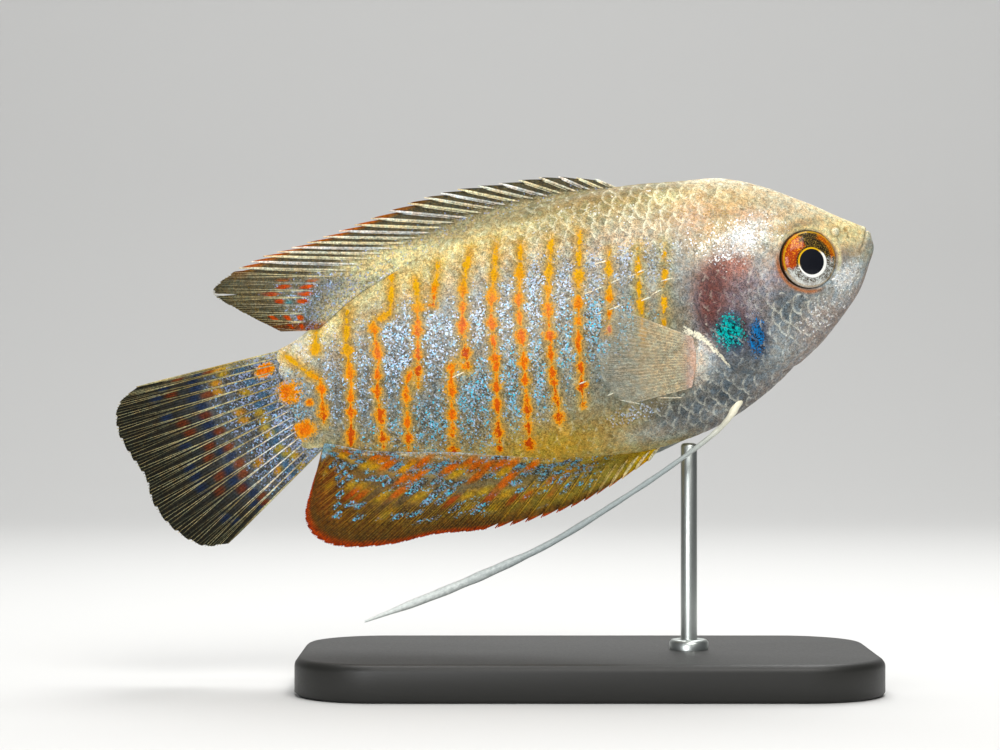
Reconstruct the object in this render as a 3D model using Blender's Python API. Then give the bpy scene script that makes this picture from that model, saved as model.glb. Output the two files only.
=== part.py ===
"""A dwarf gourami at life size, as a still museum model on a plain display stand.

The fish is drawn in its own body frame, in millimetres: s runs back from the snout along the
body's axis, h is the height above that axis, and y is to the fish's left. to_part places
that frame in the part's frame, in metres, with the nose pitched up.
"""

import math

import bmesh
import bpy
import numpy as np
from mathutils import Vector

MM = 0.001
GAP = 0.3

# How the fish hangs on its stand
PITCH = math.radians(15.6)
SNOUT_X = 28.0
SNOUT_Z = 43.2

# Lengths along the body's axis
SNOUT_RING = 0.012
HEAD_END = 24.0
TRUNK_START = 9.4
STEM_START = 50.0
BODY_END = 57.3

# How finely the body is drawn: points round a ring, and rings along each length
HEAD_AROUND, TRUNK_AROUND, STEM_AROUND = 44, 36, 28
HEAD_RINGS, TRUNK_RINGS, STEM_RINGS = 30, 24, 5
OUTSIDE = 16.0

# The body's outline: (s, h) along the back and the belly, (s, half width), (s, h of the widest level)
BACK = [(0, 0.15), (0.3, 1.45), (0.9, 2.1), (2.6, 3.4), (5.9, 6.1), (9.3, 8.5), (12.8, 10.2), (16.7, 11.0),
        (22.0, 12.0), (28.3, 12.6), (34.9, 12.5), (40.6, 11.7), (46.3, 10.4), (50.5, 9.1), (54.3, 7.3),
        (57.3, 6.1)]
BELLY = [(0, -0.15), (0.3, -0.95), (0.8, -1.65), (2.6, -4.05), (5.2, -6.1), (10.1, -9.3), (14.9, -11.75),
         (19.4, -13.2), (23.5, -13.7), (28.1, -13.6), (31.5, -13.2), (36.3, -12.2), (41.0, -10.8),
         (44.9, -9.4), (49.5, -8.1), (53.0, -7.0), (57.3, -5.1)]
HALF_WIDTH = [(0, 0.1), (0.5, 1.1), (1.5, 1.75), (3.5, 2.55), (6.6, 3.45), (10, 4.1), (14, 4.5), (18, 4.7),
              (24, 4.75), (30, 4.4), (36, 3.75), (42, 2.95), (48, 2.15), (53, 1.5), (57.3, 1.0)]
WIDEST = [(0, 0.0), (6.6, 0.0), (12, -0.6), (20, -0.9), (30, -0.6), (40, 0.0), (57.3, 0.3)]

# The gill cover's hind edge, from above the nape down to the throat, and the cover's lift
GILL_EDGE = [(13.5, 14.0), (15.0, 10.8), (17.0, 6.1), (18.0, 3.3), (18.7, 0.2), (18.7, -2.4), (18.2, -4.4),
             (17.5, -6.7), (16.5, -8.3), (14.8, -9.1), (12.5, -9.4), (7.5, -9.6)]
GILL_LIFT = 0.4
GILL_RAMP = 6.0

# The eye and its orbit
EYE_S, EYE_H, EYE_Y = 6.6, 0.15, 2.5
EYE_RADIUS = 2.9
EYE_DEPTH = 1.6
EYE_TOE = math.radians(14)
ORBIT_RING = 3.4
ORBIT_LIFT = 0.28

# The mouth: its cleft runs from the tip of the snout down to the corner
CLEFT_TIP = (-0.6, 0.85)
CLEFT_CORNER = (2.0, -0.95)
CLEFT_WIDTH = 0.26
CLEFT_FRONT_H = 0.35
LIP_RADIUS, LIP_AT_CORNER = 0.46, 0.14
LIP_SPREAD = 0.42
# Each nostril: place and radius of its rim, which stands proud, with a pit half as wide
NOSTRILS = [(3.6, 2.0, 0.42), (2.5, 1.9, 0.34)]
NOSTRIL_PROUD, NOSTRIL_PIT = 0.12, 0.35

# The fish's slight curve seen from above: snout and tail swing to its left
HEAD_SWING = 1.3
HEAD_SWING_FROM = 24.0
TAIL_SWING = 4.0
TAIL_SWING_FROM = 34.0
TAIL_TIP = 76.6

# The fins' margins, (s, h) from the first ray to the last
DORSAL_ROOT_S = (23.2, 54.6)
DORSAL_MARGIN = [(24.6, 13.3), (28.7, 14.7), (33.4, 15.4), (38.2, 16.0), (42.2, 16.0), (46.8, 15.5),
                 (50.8, 15.1), (54.8, 14.9), (58.3, 14.8), (61.3, 14.1), (63.6, 12.8), (61.6, 10.4), (58.2, 7.3)]
ANAL_ROOT_S = (24.8, 57.0)
ANAL_MARGIN = [(27.0, -14.6), (31.3, -16.0), (35.4, -16.9), (40.1, -17.1), (44.6, -16.7), (49.1, -15.9),
               (53.5, -15.7), (58.0, -14.7), (60.3, -13.1), (60.8, -10.9), (59.5, -8.4), (58.3, -6.6)]
TAIL_MARGIN = [(73.5, 5.9), (75.8, 4.7), (76.6, 2.3), (76.0, -0.4), (75.1, -3.0), (75.0, -5.6), (73.7, -8.6),
               (71.4, -10.9), (68.9, -11.4)]
TAIL_ROOT_H = (5.4, -4.7)
PECTORAL_ROOT = [(19.9, -4.1), (20.0, -5.6), (20.4, -7.0), (21.2, -8.7)]
PECTORAL_MARGIN = [(26.4, 0.6), (28.3, -1.4), (29.3, -3.9), (29.3, -6.2), (27.6, -8.6)]
PECTORAL_FLARE = 3.0

DORSAL_RAYS, ANAL_RAYS, TAIL_RAYS, PECTORAL_RAYS = 24, 30, 18, 10
MEMBRANE, RAY_RIDGE, FIN_EDGE = 0.5, 0.36, 0.3
FIN_ROOT, TAIL_FIN_ROOT = 1.0, 1.3
# How much of a ray's height is left at the margin, and how far the membrane falls short of the ray tips
RIDGE_AT_TIP = 0.6
SPINE_NOTCH, SOFT_NOTCH, FAN_NOTCH = 0.15, 0.04, 0.014
# The share of the dorsal and anal fins that has spines, and how far each fin bends out at its margin
DORSAL_SPINY, ANAL_SPINY = 0.72, 0.55
FIN_BEND, TAIL_WAVE = 0.4, 0.45

# The two thread-like pelvic fins: their root on the breast, then (s, h, distance out from the mid-plane)
FEELER_ROOT = (17.5, -11.7)
FEELER_RIGHT = [(20.6, -13.7, 3.5), (25.3, -15.5, 4.0), (30.9, -17.3, 4.6), (38.0, -19.3, 5.4),
                (44.0, -20.3, 6.6), (50.0, -21.0, 8.0), (57.2, -21.6, 9.6)]
FEELER_LEFT = [(21.2, -13.1, 3.6), (26.0, -14.0, 4.3), (32.0, -14.2, 4.9), (38.0, -13.9, 5.2),
               (44.0, -12.9, 5.5), (50.0, -11.4, 6.0), (55.5, -9.4, 6.8)]
FEELER_RADIUS = [(0, 0.46), (0.06, 0.38), (0.25, 0.28), (0.7, 0.33), (0.93, 0.3), (1, 0.12)]
FEELER_LENGTHS = 3

# The stand
BASE_LENGTH, BASE_DEPTH, BASE_HEIGHT = 56.0, 30.0, 3.6
BASE_CORNER, BASE_BEVEL = 8.0, 0.8
ROD_STATION, ROD_RADIUS, SOCKET_DEPTH = 22.6, 0.8, 2.5


def smooth_curve(keys):
    """A function through (place, value...) keys: cubic, with each slope taken from the neighbouring keys."""
    table = np.array(keys, float)
    places, values = table[:, 0], table[:, 1:]
    slopes = np.gradient(values, places, axis=0)

    def value_at(place):
        place = min(max(place, places[0]), places[-1])
        i = min(max(int(np.searchsorted(places, place, side="right")) - 1, 0), len(places) - 2)
        span = places[i + 1] - places[i]
        t = (place - places[i]) / span
        found = (values[i] * (2 * t**3 - 3 * t**2 + 1) + values[i + 1] * (3 * t**2 - 2 * t**3)
                 + span * (slopes[i] * (t**3 - 2 * t**2 + t) + slopes[i + 1] * (t**3 - t**2)))
        return float(found[0]) if len(found) == 1 else found
    return value_at


def blunt_curve(keys):
    """As smooth_curve, but drawn against the root of s, so that the outline closes round at the snout."""
    drawn = smooth_curve([(math.sqrt(s), value) for s, value in keys])
    return lambda s: drawn(math.sqrt(max(s, 0)))


def line_of(points):
    """A smooth line through points, as a function of 0 to 1."""
    last = len(points) - 1
    return smooth_curve([(i / last, *p) for i, p in enumerate(points)])


back, belly, half_width = blunt_curve(BACK), blunt_curve(BELLY), blunt_curve(HALF_WIDTH)
widest = smooth_curve(WIDEST)


def sway(s):
    """How far the body's mid-plane lies to the left at s."""
    ahead = max(HEAD_SWING_FROM - s, 0) / HEAD_SWING_FROM
    behind = max(s - TAIL_SWING_FROM, 0) / (TAIL_TIP - TAIL_SWING_FROM)
    return HEAD_SWING * ahead**2 + TAIL_SWING * behind**2


def to_part(s, y, h):
    """A point of the body frame, in millimetres, as a point of the part's frame, in metres."""
    return Vector((SNOUT_X - s * math.cos(PITCH) - h * math.sin(PITCH), y + sway(s),
                   SNOUT_Z - s * math.sin(PITCH) + h * math.cos(PITCH))) * MM


def flank(s, h):
    """The body's half width at station s and height h, without the gill cover's lift."""
    middle = widest(s)
    reach = back(s) - middle if h > middle else middle - belly(s)
    return half_width(s) * math.sqrt(max(1 - ((h - middle) / reach) ** 2, 0))


def gill_edge_s(h):
    """Where the gill cover ends at height h."""
    heights = [(-p[1], p[0]) for p in GILL_EDGE if p[1] > -8]
    return smooth_curve(heights)(-h)


def head_lift(s, h):
    """How far the head's plates stand proud of the plain body: the gill cover and the orbit's rim."""
    before = gill_edge_s(h) - s
    cover = math.exp(-((before / GILL_RAMP) ** 2)) if before > 0 else 1.0
    cover *= min(max((6.5 - h) / 3, 0), 1) * min(max((h + 10.5) / 3, 0), 1)
    round_eye = math.hypot(s - EYE_S, h - EYE_H)
    rim = math.exp(-(((round_eye - ORBIT_RING) / 0.5) ** 2))
    return GILL_LIFT * cover + ORBIT_LIFT * rim


def new_object(name, bm):
    """Links a bmesh as a named object, with its faces pointing out."""
    bm.normal_update()
    bmesh.ops.recalc_face_normals(bm, faces=bm.faces)
    mesh = bpy.data.meshes.new(name)
    bm.to_mesh(mesh)
    bm.free()
    obj = bpy.data.objects.new(name, mesh)
    bpy.context.scene.collection.objects.link(obj)
    return obj


def skinned(name, rings):
    """A closed solid through rings of equally many points, its ends closed by flat fans."""
    bm = bmesh.new()
    rows = [[bm.verts.new(p) for p in ring] for ring in rings]
    count = len(rows[0])
    for a, b in zip(rows, rows[1:]):
        for j in range(count):
            k = (j + 1) % count
            bm.faces.new((a[j], a[k], b[k], b[j]))
    for row in (rows[0], rows[-1]):
        middle = bm.verts.new(sum((v.co for v in row), Vector()) / count)
        for j in range(count):
            bm.faces.new((row[j], row[(j + 1) % count], middle))
    bmesh.ops.triangulate(bm, faces=bm.faces)
    return new_object(name, bm)


def body_ring(s, around, lift=None):
    """One cross-section of the body at station s."""
    middle, width = widest(s), half_width(s)
    ring = []
    for j in range(around):
        turn = 2 * math.pi * j / around
        side, rise = math.cos(turn), math.sin(turn)
        h = middle + rise * ((back(s) - middle) if rise > 0 else (middle - belly(s)))
        y = width * side
        if lift and abs(side) > 0.05:
            y += math.copysign(lift(s, h) * abs(side) ** 0.5, side)
        ring.append(to_part(s, y, h))
    return ring


def prism(name, outline, reach=14.0):
    """An (s, h) outline pushed through from side to side, as a cutter."""
    bm = bmesh.new()
    near = [bm.verts.new(to_part(s, -reach, h)) for s, h in outline]
    far = [bm.verts.new(to_part(s, reach, h)) for s, h in outline]
    bm.faces.new(near)
    bm.faces.new(far[::-1])
    for j in range(len(outline)):
        k = (j + 1) % len(outline)
        bm.faces.new((near[j], near[k], far[k], far[j]))
    bmesh.ops.triangulate(bm, faces=bm.faces)
    return new_object(name, bm)


def ellipsoid(name, centre, radii, toe, segments, rings):
    """A ball of three radii about a body-frame centre, its outer face turned forward by toe."""
    bm = bmesh.new()
    bmesh.ops.create_uvsphere(bm, u_segments=segments, v_segments=rings, radius=1)
    side = math.copysign(1, centre[1])
    for v in bm.verts:
        # The ball's pole looks sideways, out of the head
        ds, dh, dy = v.co.x * radii[0], v.co.y * radii[2], v.co.z * radii[1]
        s = centre[0] + ds * math.cos(toe) - side * dy * math.sin(toe)
        y = centre[1] + dy * math.cos(toe) + side * ds * math.sin(toe)
        v.co = to_part(s, y, centre[2] + dh)
    return new_object(name, bm)


def tube(name, line, radius, start, end, steps, sides):
    """A solid tube along line, a function of 0 to 1 in the body frame, from start to end."""
    rings = []
    for i in range(steps + 1):
        t = start + (end - start) * i / steps
        here = to_part(*line(t))
        ahead = to_part(*line(min(t + 0.004, 1))) - to_part(*line(max(t - 0.004, 0)))
        across = ahead.cross(Vector((0, 0, 1))).normalized()
        over = across.cross(ahead).normalized()
        r = radius(t) * MM
        turns = [2 * math.pi * j / sides for j in range(sides)]
        rings.append([here + r * (math.cos(a) * across + math.sin(a) * over) for a in turns])
    return skinned(name, rings)


def keep_largest(mesh):
    """Leaves only the mesh's largest closed surface."""
    bm = bmesh.new()
    bm.from_mesh(mesh)
    left, shells = set(bm.verts), []
    while left:
        shell, edge = set(), [left.pop()]
        while edge:
            v = edge.pop()
            shell.add(v)
            near = {e.other_vert(v) for e in v.link_edges} & left
            left -= near
            edge.extend(near)
        shells.append(shell)
    keep = max(shells, key=len)
    bmesh.ops.delete(bm, geom=[v for v in bm.verts if v not in keep], context="VERTS")
    bm.to_mesh(mesh)
    bm.free()


def combine(obj, pieces, operation):
    """Applies one Boolean with a collection of closed pieces, and removes them."""
    group = bpy.data.collections.new(obj.name + "_" + operation.lower())
    bpy.context.scene.collection.children.link(group)
    for piece in pieces:
        bpy.context.scene.collection.objects.unlink(piece)
        group.objects.link(piece)
    step = obj.modifiers.new(operation.title(), "BOOLEAN")
    step.operation, step.operand_type, step.collection, step.solver = operation, "COLLECTION", group, "EXACT"
    graph = bpy.context.evaluated_depsgraph_get()
    made = bpy.data.meshes.new_from_object(obj.evaluated_get(graph))
    obj.modifiers.clear()
    obj.data = made
    for piece in pieces:
        bpy.data.objects.remove(piece)
    bpy.data.collections.remove(group)
    keep_largest(obj.data)


def paint(obj, name, colour, roughness, metallic=0.0):
    """Gives an object its Principled material, made once for each name."""
    material = bpy.data.materials.get(name)
    if material is None:
        material = bpy.data.materials.new(name)
        material.use_nodes = True
        shader = material.node_tree.nodes["Principled BSDF"]
        shader.inputs["Base Color"].default_value = (*colour, 1)
        shader.inputs["Roughness"].default_value = roughness
        shader.inputs["Metallic"].default_value = metallic
    obj.data.materials.clear()
    obj.data.materials.append(material)


def offset_edge(distance):
    """The gill cover's edge as a smooth line of points, moved back by distance."""
    edge = line_of(GILL_EDGE)
    moved = []
    steps = 36
    for i in range(steps + 1):
        t = i / steps
        along = np.array(edge(min(t + 0.01, 1))) - np.array(edge(max(t - 0.01, 0)))
        along /= np.linalg.norm(along)
        moved.append(tuple(np.array(edge(t)) + distance * np.array((-along[1], along[0]))))
    return moved


def lip(name, rise):
    """One lip: a tube round the snout beside the mouth's cleft, which thins and sinks in at the corners."""
    def line(t):
        across = 2 * t - 1
        s = CLEFT_CORNER[0] * across**2 + 0.12
        h = CLEFT_FRONT_H + (CLEFT_CORNER[1] - CLEFT_FRONT_H) * across**2 + rise * (1 - 0.55 * across**2)
        sunk = 0.12 + 0.1 * across**2
        return s, math.copysign(max(flank(s, h) - sunk, 0) * min(abs(across) * 3, 1), across), h

    def radius(t):
        return LIP_AT_CORNER + (LIP_RADIUS - LIP_AT_CORNER) * (1 - abs(2 * t - 1) ** 1.5)
    return tube(name, line, radius, 0, 1, 22, 10)


def nostril_post(name, side, s, h, radius, out, into):
    """A short post square to the head's side at a nostril."""
    surface = flank(s, h)

    def line(t):
        return s, side * (surface - into + (out + into) * t), h
    return tube(name, line, lambda t: radius, 0, 1, 1, 10)


def slit(name, start, end, width):
    """A thin cutter between two (s, h) points, pointed at its inner end."""
    along = np.array(end) - np.array(start)
    across = np.array((-along[1], along[0])) / np.linalg.norm(along) * width / 2
    outline = [np.array(start) + across, np.array(end) + across * 0.4, np.array(end) - across * 0.4,
               np.array(start) - across]
    return prism(name, [tuple(p) for p in outline], 6.0)


def make_head():
    """Snout, cheeks and gill covers, with lips, nostrils and the two orbits."""
    stations = [HEAD_END * (i / HEAD_RINGS) ** 1.7 for i in range(1, HEAD_RINGS + 1)]
    head = skinned("head", [body_ring(s, HEAD_AROUND, head_lift) for s in [SNOUT_RING, *stations]])
    added = [lip("upper_lip", LIP_SPREAD), lip("lower_lip", -LIP_SPREAD)]
    for side in (-1, 1):
        for s, h, radius in NOSTRILS:
            added.append(nostril_post("nostril", side, s, h, radius, NOSTRIL_PROUD, 0.6))
    combine(head, added, "UNION")
    rear = HEAD_END + GILL_RAMP
    behind = [(GILL_EDGE[-1][0], -OUTSIDE), (rear, -OUTSIDE), (rear, OUTSIDE), (GILL_EDGE[0][0], OUTSIDE)]
    cutters = [prism("behind_gills", [*offset_edge(0), *behind]),
               slit("cleft", CLEFT_TIP, CLEFT_CORNER, CLEFT_WIDTH)]
    for side in (-1, 1):
        grown = (EYE_RADIUS + GAP, EYE_DEPTH + GAP, EYE_RADIUS + GAP)
        cutters.append(ellipsoid("orbit", (EYE_S, side * EYE_Y, EYE_H), grown, EYE_TOE, 24, 12))
        for s, h, radius in NOSTRILS:
            cutters.append(nostril_post("pit", side, s, h, radius * 0.5, 0.6, NOSTRIL_PIT))
    combine(head, cutters, "DIFFERENCE")
    paint(head, "head_skin", (0.52, 0.46, 0.38), 0.4)


def make_trunk():
    """The deep, flat trunk and breast, behind and below the gill covers."""
    length = STEM_START - GAP - TRUNK_START
    stations = [TRUNK_START + length * i / TRUNK_RINGS for i in range(TRUNK_RINGS + 1)]
    trunk = skinned("trunk", [body_ring(s, TRUNK_AROUND) for s in stations])
    ahead = [(GILL_EDGE[-1][0], -OUTSIDE), (0, -OUTSIDE), (0, OUTSIDE), (GILL_EDGE[0][0], OUTSIDE)]
    combine(trunk, [prism("gill_region", [*offset_edge(GAP), *ahead])], "DIFFERENCE")
    paint(trunk, "flank_skin", (0.5, 0.42, 0.3), 0.35)


def make_tail_stem():
    """The short stem that carries the tail fin."""
    length = BODY_END - STEM_START
    stations = [STEM_START + length * i / STEM_RINGS for i in range(STEM_RINGS + 1)]
    stem = skinned("tail_stem", [body_ring(s, STEM_AROUND) for s in stations])
    paint(stem, "flank_skin", (0.5, 0.42, 0.3), 0.35)


def make_eyes():
    """Two flattened balls that fill the orbits, with the gap between."""
    for name, side in (("eye_right", -1), ("eye_left", 1)):
        centre = (EYE_S, side * EYE_Y, EYE_H)
        eye = ellipsoid(name, centre, (EYE_RADIUS, EYE_DEPTH, EYE_RADIUS), EYE_TOE, 24, 12)
        paint(eye, "eye", (0.05, 0.05, 0.06), 0.1)


def fin(name, root_at, margin_at, rays, rows, notch, thickness, wave):
    """A closed fin: rays as ridges in both faces of a membrane whose margin is notched between them.

    root_at and margin_at give (s, h) for 0 to 1 along the fin; thickness is (root, membrane);
    wave gives how far a point stands out of the mid-plane.
    """
    bm = bmesh.new()
    columns = 2 * rays - 1
    near, far = [], []
    for i in range(rows + 1):
        near_row, far_row = [], []
        for j in range(columns):
            u, on_ray = j / (columns - 1), j % 2 == 0
            root, tip = np.array(root_at(u)), np.array(margin_at(u))
            v = i / rows * (1 if on_ray else 1 - notch(u))
            s, h = root + (tip - root) * v
            thick = thickness[1] + (thickness[0] - thickness[1]) * max(1 - 3 * v, 0) ** 2
            thick += RAY_RIDGE * (1 - (1 - RIDGE_AT_TIP) * v) if on_ray else 0
            thick += (FIN_EDGE - thickness[1]) * max(v - 0.75, 0) / 0.25
            y = wave(u, v)
            near_row.append(bm.verts.new(to_part(s, y - thick / 2, h)))
            far_row.append(bm.verts.new(to_part(s, y + thick / 2, h)))
        near.append(near_row)
        far.append(far_row)
    for i in range(rows):
        for j in range(columns - 1):
            for side in (near, far):
                a, b, c, d = side[i][j], side[i][j + 1], side[i + 1][j + 1], side[i + 1][j]
                bm.faces.new((a, b, c))
                bm.faces.new((a, c, d))
    rim = ([(0, j) for j in range(columns)] + [(i, columns - 1) for i in range(1, rows + 1)]
           + [(rows, j) for j in range(columns - 2, -1, -1)] + [(i, 0) for i in range(rows - 1, 0, -1)])
    for (i, j), (k, m) in zip(rim, rim[1:] + rim[:1]):
        bm.faces.new((near[i][j], near[k][m], far[k][m]))
        bm.faces.new((near[i][j], far[k][m], far[i][j]))
    return new_object(name, bm)


def make_dorsal_fin():
    """The long back fin: hard spines in front, their tips free, then soft rays."""
    margin = line_of(DORSAL_MARGIN)

    def root(u):
        s = DORSAL_ROOT_S[0] + (DORSAL_ROOT_S[1] - DORSAL_ROOT_S[0]) * u
        return s, back(s) + GAP

    def notch(u):
        return SPINE_NOTCH if u < DORSAL_SPINY else SOFT_NOTCH

    def wave(u, v):
        return FIN_BEND * v * v
    made = fin("dorsal_fin", root, margin, DORSAL_RAYS, 6, notch, (FIN_ROOT, MEMBRANE), wave)
    paint(made, "fin_membrane", (0.35, 0.3, 0.18), 0.45)


def make_anal_fin():
    """The long fin under the belly, deepest at its hind lobe."""
    margin = line_of(ANAL_MARGIN)

    def root(u):
        s = ANAL_ROOT_S[0] + (ANAL_ROOT_S[1] - ANAL_ROOT_S[0]) * u
        return s, belly(s) - GAP

    def notch(u):
        return SPINE_NOTCH * 0.7 if u < ANAL_SPINY else SOFT_NOTCH

    def wave(u, v):
        return FIN_BEND * v * v
    made = fin("anal_fin", root, margin, ANAL_RAYS, 6, notch, (FIN_ROOT, MEMBRANE), wave)
    paint(made, "fin_membrane_warm", (0.45, 0.25, 0.08), 0.45)


def make_tail_fin():
    """The fan of the tail, with a shallow notch in the middle of its edge."""
    margin = line_of(TAIL_MARGIN)

    def root(u):
        h = TAIL_ROOT_H[0] + (TAIL_ROOT_H[1] - TAIL_ROOT_H[0]) * u
        return BODY_END + GAP, h

    def wave(u, v):
        return TAIL_WAVE * v * math.sin(2 * math.pi * u)
    made = fin("tail_fin", root, margin, TAIL_RAYS, 8, lambda u: FAN_NOTCH, (TAIL_FIN_ROOT, MEMBRANE), wave)
    paint(made, "fin_membrane", (0.35, 0.3, 0.18), 0.45)


def make_pectoral_fins():
    """A clear fan on each side behind the gill cover, lying along the flank and flaring out."""
    root, margin = line_of(PECTORAL_ROOT), line_of(PECTORAL_MARGIN)
    for name, side in (("pectoral_fin_right", -1), ("pectoral_fin_left", 1)):
        def wave(u, v, side=side):
            at_root = flank(*root(u)) + GAP + (MEMBRANE + RAY_RIDGE) / 2
            return side * (at_root + PECTORAL_FLARE * v**1.4)
        made = fin(name, root, margin, PECTORAL_RAYS, 6, lambda u: SOFT_NOTCH, (MEMBRANE, MEMBRANE), wave)
        paint(made, "fin_clear", (0.6, 0.58, 0.45), 0.35)


def out_of_flank(s, h):
    """The direction (s, h, out) that is square to the flank at a point."""
    step = 0.05
    lean_s = (flank(s + step, h) - flank(s - step, h)) / (2 * step)
    lean_h = (flank(s, h + step) - flank(s, h - step)) / (2 * step)
    direction = np.array((-lean_s, -lean_h, 1))
    return direction / np.linalg.norm(direction)


def make_feelers():
    """The thread-like pelvic fins: each leaves the breast square to it, then trails, in a few lengths."""
    radius = smooth_curve(FEELER_RADIUS)
    on_breast = np.array((*FEELER_ROOT, flank(*FEELER_ROOT)))
    start, clear = [tuple(on_breast + reach * out_of_flank(*FEELER_ROOT)) for reach in (GAP + 0.1, 1.3)]
    for side_name, side, points in (("right", -1, FEELER_RIGHT), ("left", 1, FEELER_LEFT)):
        line = line_of([(s, side * out, h) for s, h, out in [start, clear, *points]])
        whole = sum((to_part(*line(i / 60)) - to_part(*line((i + 1) / 60))).length for i in range(60)) / MM
        half_gap = GAP / whole / 2
        for k in range(FEELER_LENGTHS):
            near = k / FEELER_LENGTHS + (half_gap if k else 0)
            far = (k + 1) / FEELER_LENGTHS - (half_gap if k < FEELER_LENGTHS - 1 else 0)
            made = tube(f"pelvic_feeler_{side_name}_{k + 1}", line, radius, near, far, 12, 8)
            paint(made, "feeler", (0.7, 0.68, 0.6), 0.4)


def rounded_outline(length, depth, corner, steps):
    """A rectangle with round corners, about the origin."""
    points = []
    for quarter in range(4):
        mid = (quarter + 0.5) * math.pi / 2
        cx = math.copysign(length / 2 - corner, math.cos(mid))
        cy = math.copysign(depth / 2 - corner, math.sin(mid))
        for i in range(steps + 1):
            turn = quarter * math.pi / 2 + i / steps * math.pi / 2
            points.append((cx + corner * math.cos(turn), cy + corner * math.sin(turn)))
    return points


def make_stand():
    """A flat base with one rod, which stands in a socket and stops just under the breast."""
    rings = []
    for height, inset in ((0, 0), (BASE_HEIGHT - BASE_BEVEL, 0), (BASE_HEIGHT, BASE_BEVEL)):
        outline = rounded_outline(BASE_LENGTH - 2 * inset, BASE_DEPTH - 2 * inset, BASE_CORNER - inset, 6)
        rings.append([Vector((x, y, height)) * MM for x, y in outline])
    base = skinned("stand_base", rings)
    foot = to_part(ROD_STATION, 0, belly(ROD_STATION))
    step = 0.5
    ahead = to_part(ROD_STATION - step, 0, belly(ROD_STATION - step))
    slope = (ahead.z - foot.z) / (ahead.x - foot.x)

    def column(name, radius, bottom, top):
        rings = []
        turns = [2 * math.pi * i / 24 for i in range(24)]
        for height in (bottom, top):
            flat = [(foot.x + radius * MM * math.cos(a), foot.y + radius * MM * math.sin(a)) for a in turns]
            rings.append([Vector((x, y, height(x))) for x, y in flat])
        return skinned(name, rings)

    def under_breast(x):
        return foot.z + slope * (x - foot.x) - GAP * MM

    socket_floor = (BASE_HEIGHT - SOCKET_DEPTH) * MM
    socket = column("socket", ROD_RADIUS + GAP, lambda x: socket_floor, lambda x: (BASE_HEIGHT + 3) * MM)
    combine(base, [socket], "DIFFERENCE")
    rod = column("stand_rod", ROD_RADIUS, lambda x: socket_floor + GAP * MM, under_breast)
    paint(base, "stand_base", (0.03, 0.03, 0.03), 0.5)
    paint(rod, "stand_steel", (0.6, 0.6, 0.6), 0.3, 1.0)


def shade():
    """Round pieces shade smooth, with true edges kept sharp."""
    for obj in bpy.context.scene.objects:
        obj.data.shade_smooth()
        obj.data.set_sharp_from_angle(angle=math.radians(40))


for old in list(bpy.data.objects):
    bpy.data.objects.remove(old)
make_head()
make_trunk()
make_tail_stem()
make_eyes()
make_dorsal_fin()
make_anal_fin()
make_tail_fin()
make_pectoral_fins()
make_feelers()
make_stand()
shade()
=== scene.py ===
# %% [markdown]
# # A dwarf gourami as a still model
# The fish hangs nose up over a plain display stand, with its long feelers trailing. The packed
# solids give its size, its outline and what stands where. This lesson dresses them: one skin, a coat
# of scales, rayed fins, wet eyes, and the paint that runs over all of it.

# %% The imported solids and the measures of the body
import math

import bpy
import numpy as np
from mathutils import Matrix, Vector


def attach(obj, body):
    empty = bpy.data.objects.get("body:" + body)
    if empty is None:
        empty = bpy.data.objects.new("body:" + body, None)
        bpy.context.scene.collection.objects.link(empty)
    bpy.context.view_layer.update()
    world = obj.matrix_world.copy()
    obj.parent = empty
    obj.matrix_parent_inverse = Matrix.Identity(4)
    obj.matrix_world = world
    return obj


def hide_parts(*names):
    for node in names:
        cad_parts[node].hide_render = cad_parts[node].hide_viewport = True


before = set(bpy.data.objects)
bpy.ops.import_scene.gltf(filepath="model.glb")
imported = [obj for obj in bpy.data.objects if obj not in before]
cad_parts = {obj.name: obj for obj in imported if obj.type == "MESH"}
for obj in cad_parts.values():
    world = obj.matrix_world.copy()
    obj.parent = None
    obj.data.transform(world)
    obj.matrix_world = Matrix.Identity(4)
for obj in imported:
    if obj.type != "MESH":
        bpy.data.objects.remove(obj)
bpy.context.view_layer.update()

MM = 0.001

# %% [markdown]
# The body has a frame of its own, in millimetres: s runs back from the snout, h is the height above
# the body's axis, and y goes to the fish's left. Every outline is a short list of keys with a smooth
# line through them, the same keys that the solids were drawn from, so the two agree everywhere.

# %% Outlines of the body
PITCH = math.radians(15.6)
SNOUT_X, SNOUT_Z = 28.0, 43.2
BACK = [(0, 0.15), (0.3, 1.45), (0.9, 2.1), (2.6, 3.4), (5.9, 6.1), (9.3, 8.5), (12.8, 10.2), (16.7, 11.0),
        (22.0, 12.0), (28.3, 12.6), (34.9, 12.5), (40.6, 11.7), (46.3, 10.4), (50.5, 9.1), (54.3, 7.3),
        (57.3, 6.1), (59.2, 5.7)]
BELLY = [(0, -0.15), (0.3, -0.95), (0.8, -1.65), (2.6, -4.05), (5.2, -6.1), (10.1, -9.3), (14.9, -11.75),
         (19.4, -13.2), (23.5, -13.7), (28.1, -13.6), (31.5, -13.2), (36.3, -12.2), (41.0, -10.8),
         (44.9, -9.4), (49.5, -8.1), (53.0, -7.0), (57.3, -5.1), (59.2, -4.8)]
HALF_WIDTH = [(0, 0.1), (0.5, 1.1), (1.5, 1.75), (3.5, 2.55), (6.6, 3.45), (10, 4.1), (14, 4.5), (18, 4.7),
              (24, 4.75), (30, 4.4), (36, 3.75), (42, 2.95), (48, 2.15), (53, 1.5), (57.3, 0.85),
              (59.2, 0.36)]
WIDEST = [(0, 0.0), (6.6, 0.0), (12, -0.6), (20, -0.9), (30, -0.6), (40, 0.0), (57.3, 0.3)]
SKIN_START, SKIN_END = 0.012, 59.1
HEAD_SWING, HEAD_SWING_FROM = 1.3, 24.0
TAIL_SWING, TAIL_SWING_FROM, TAIL_TIP = 4.0, 34.0, 76.6


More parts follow.
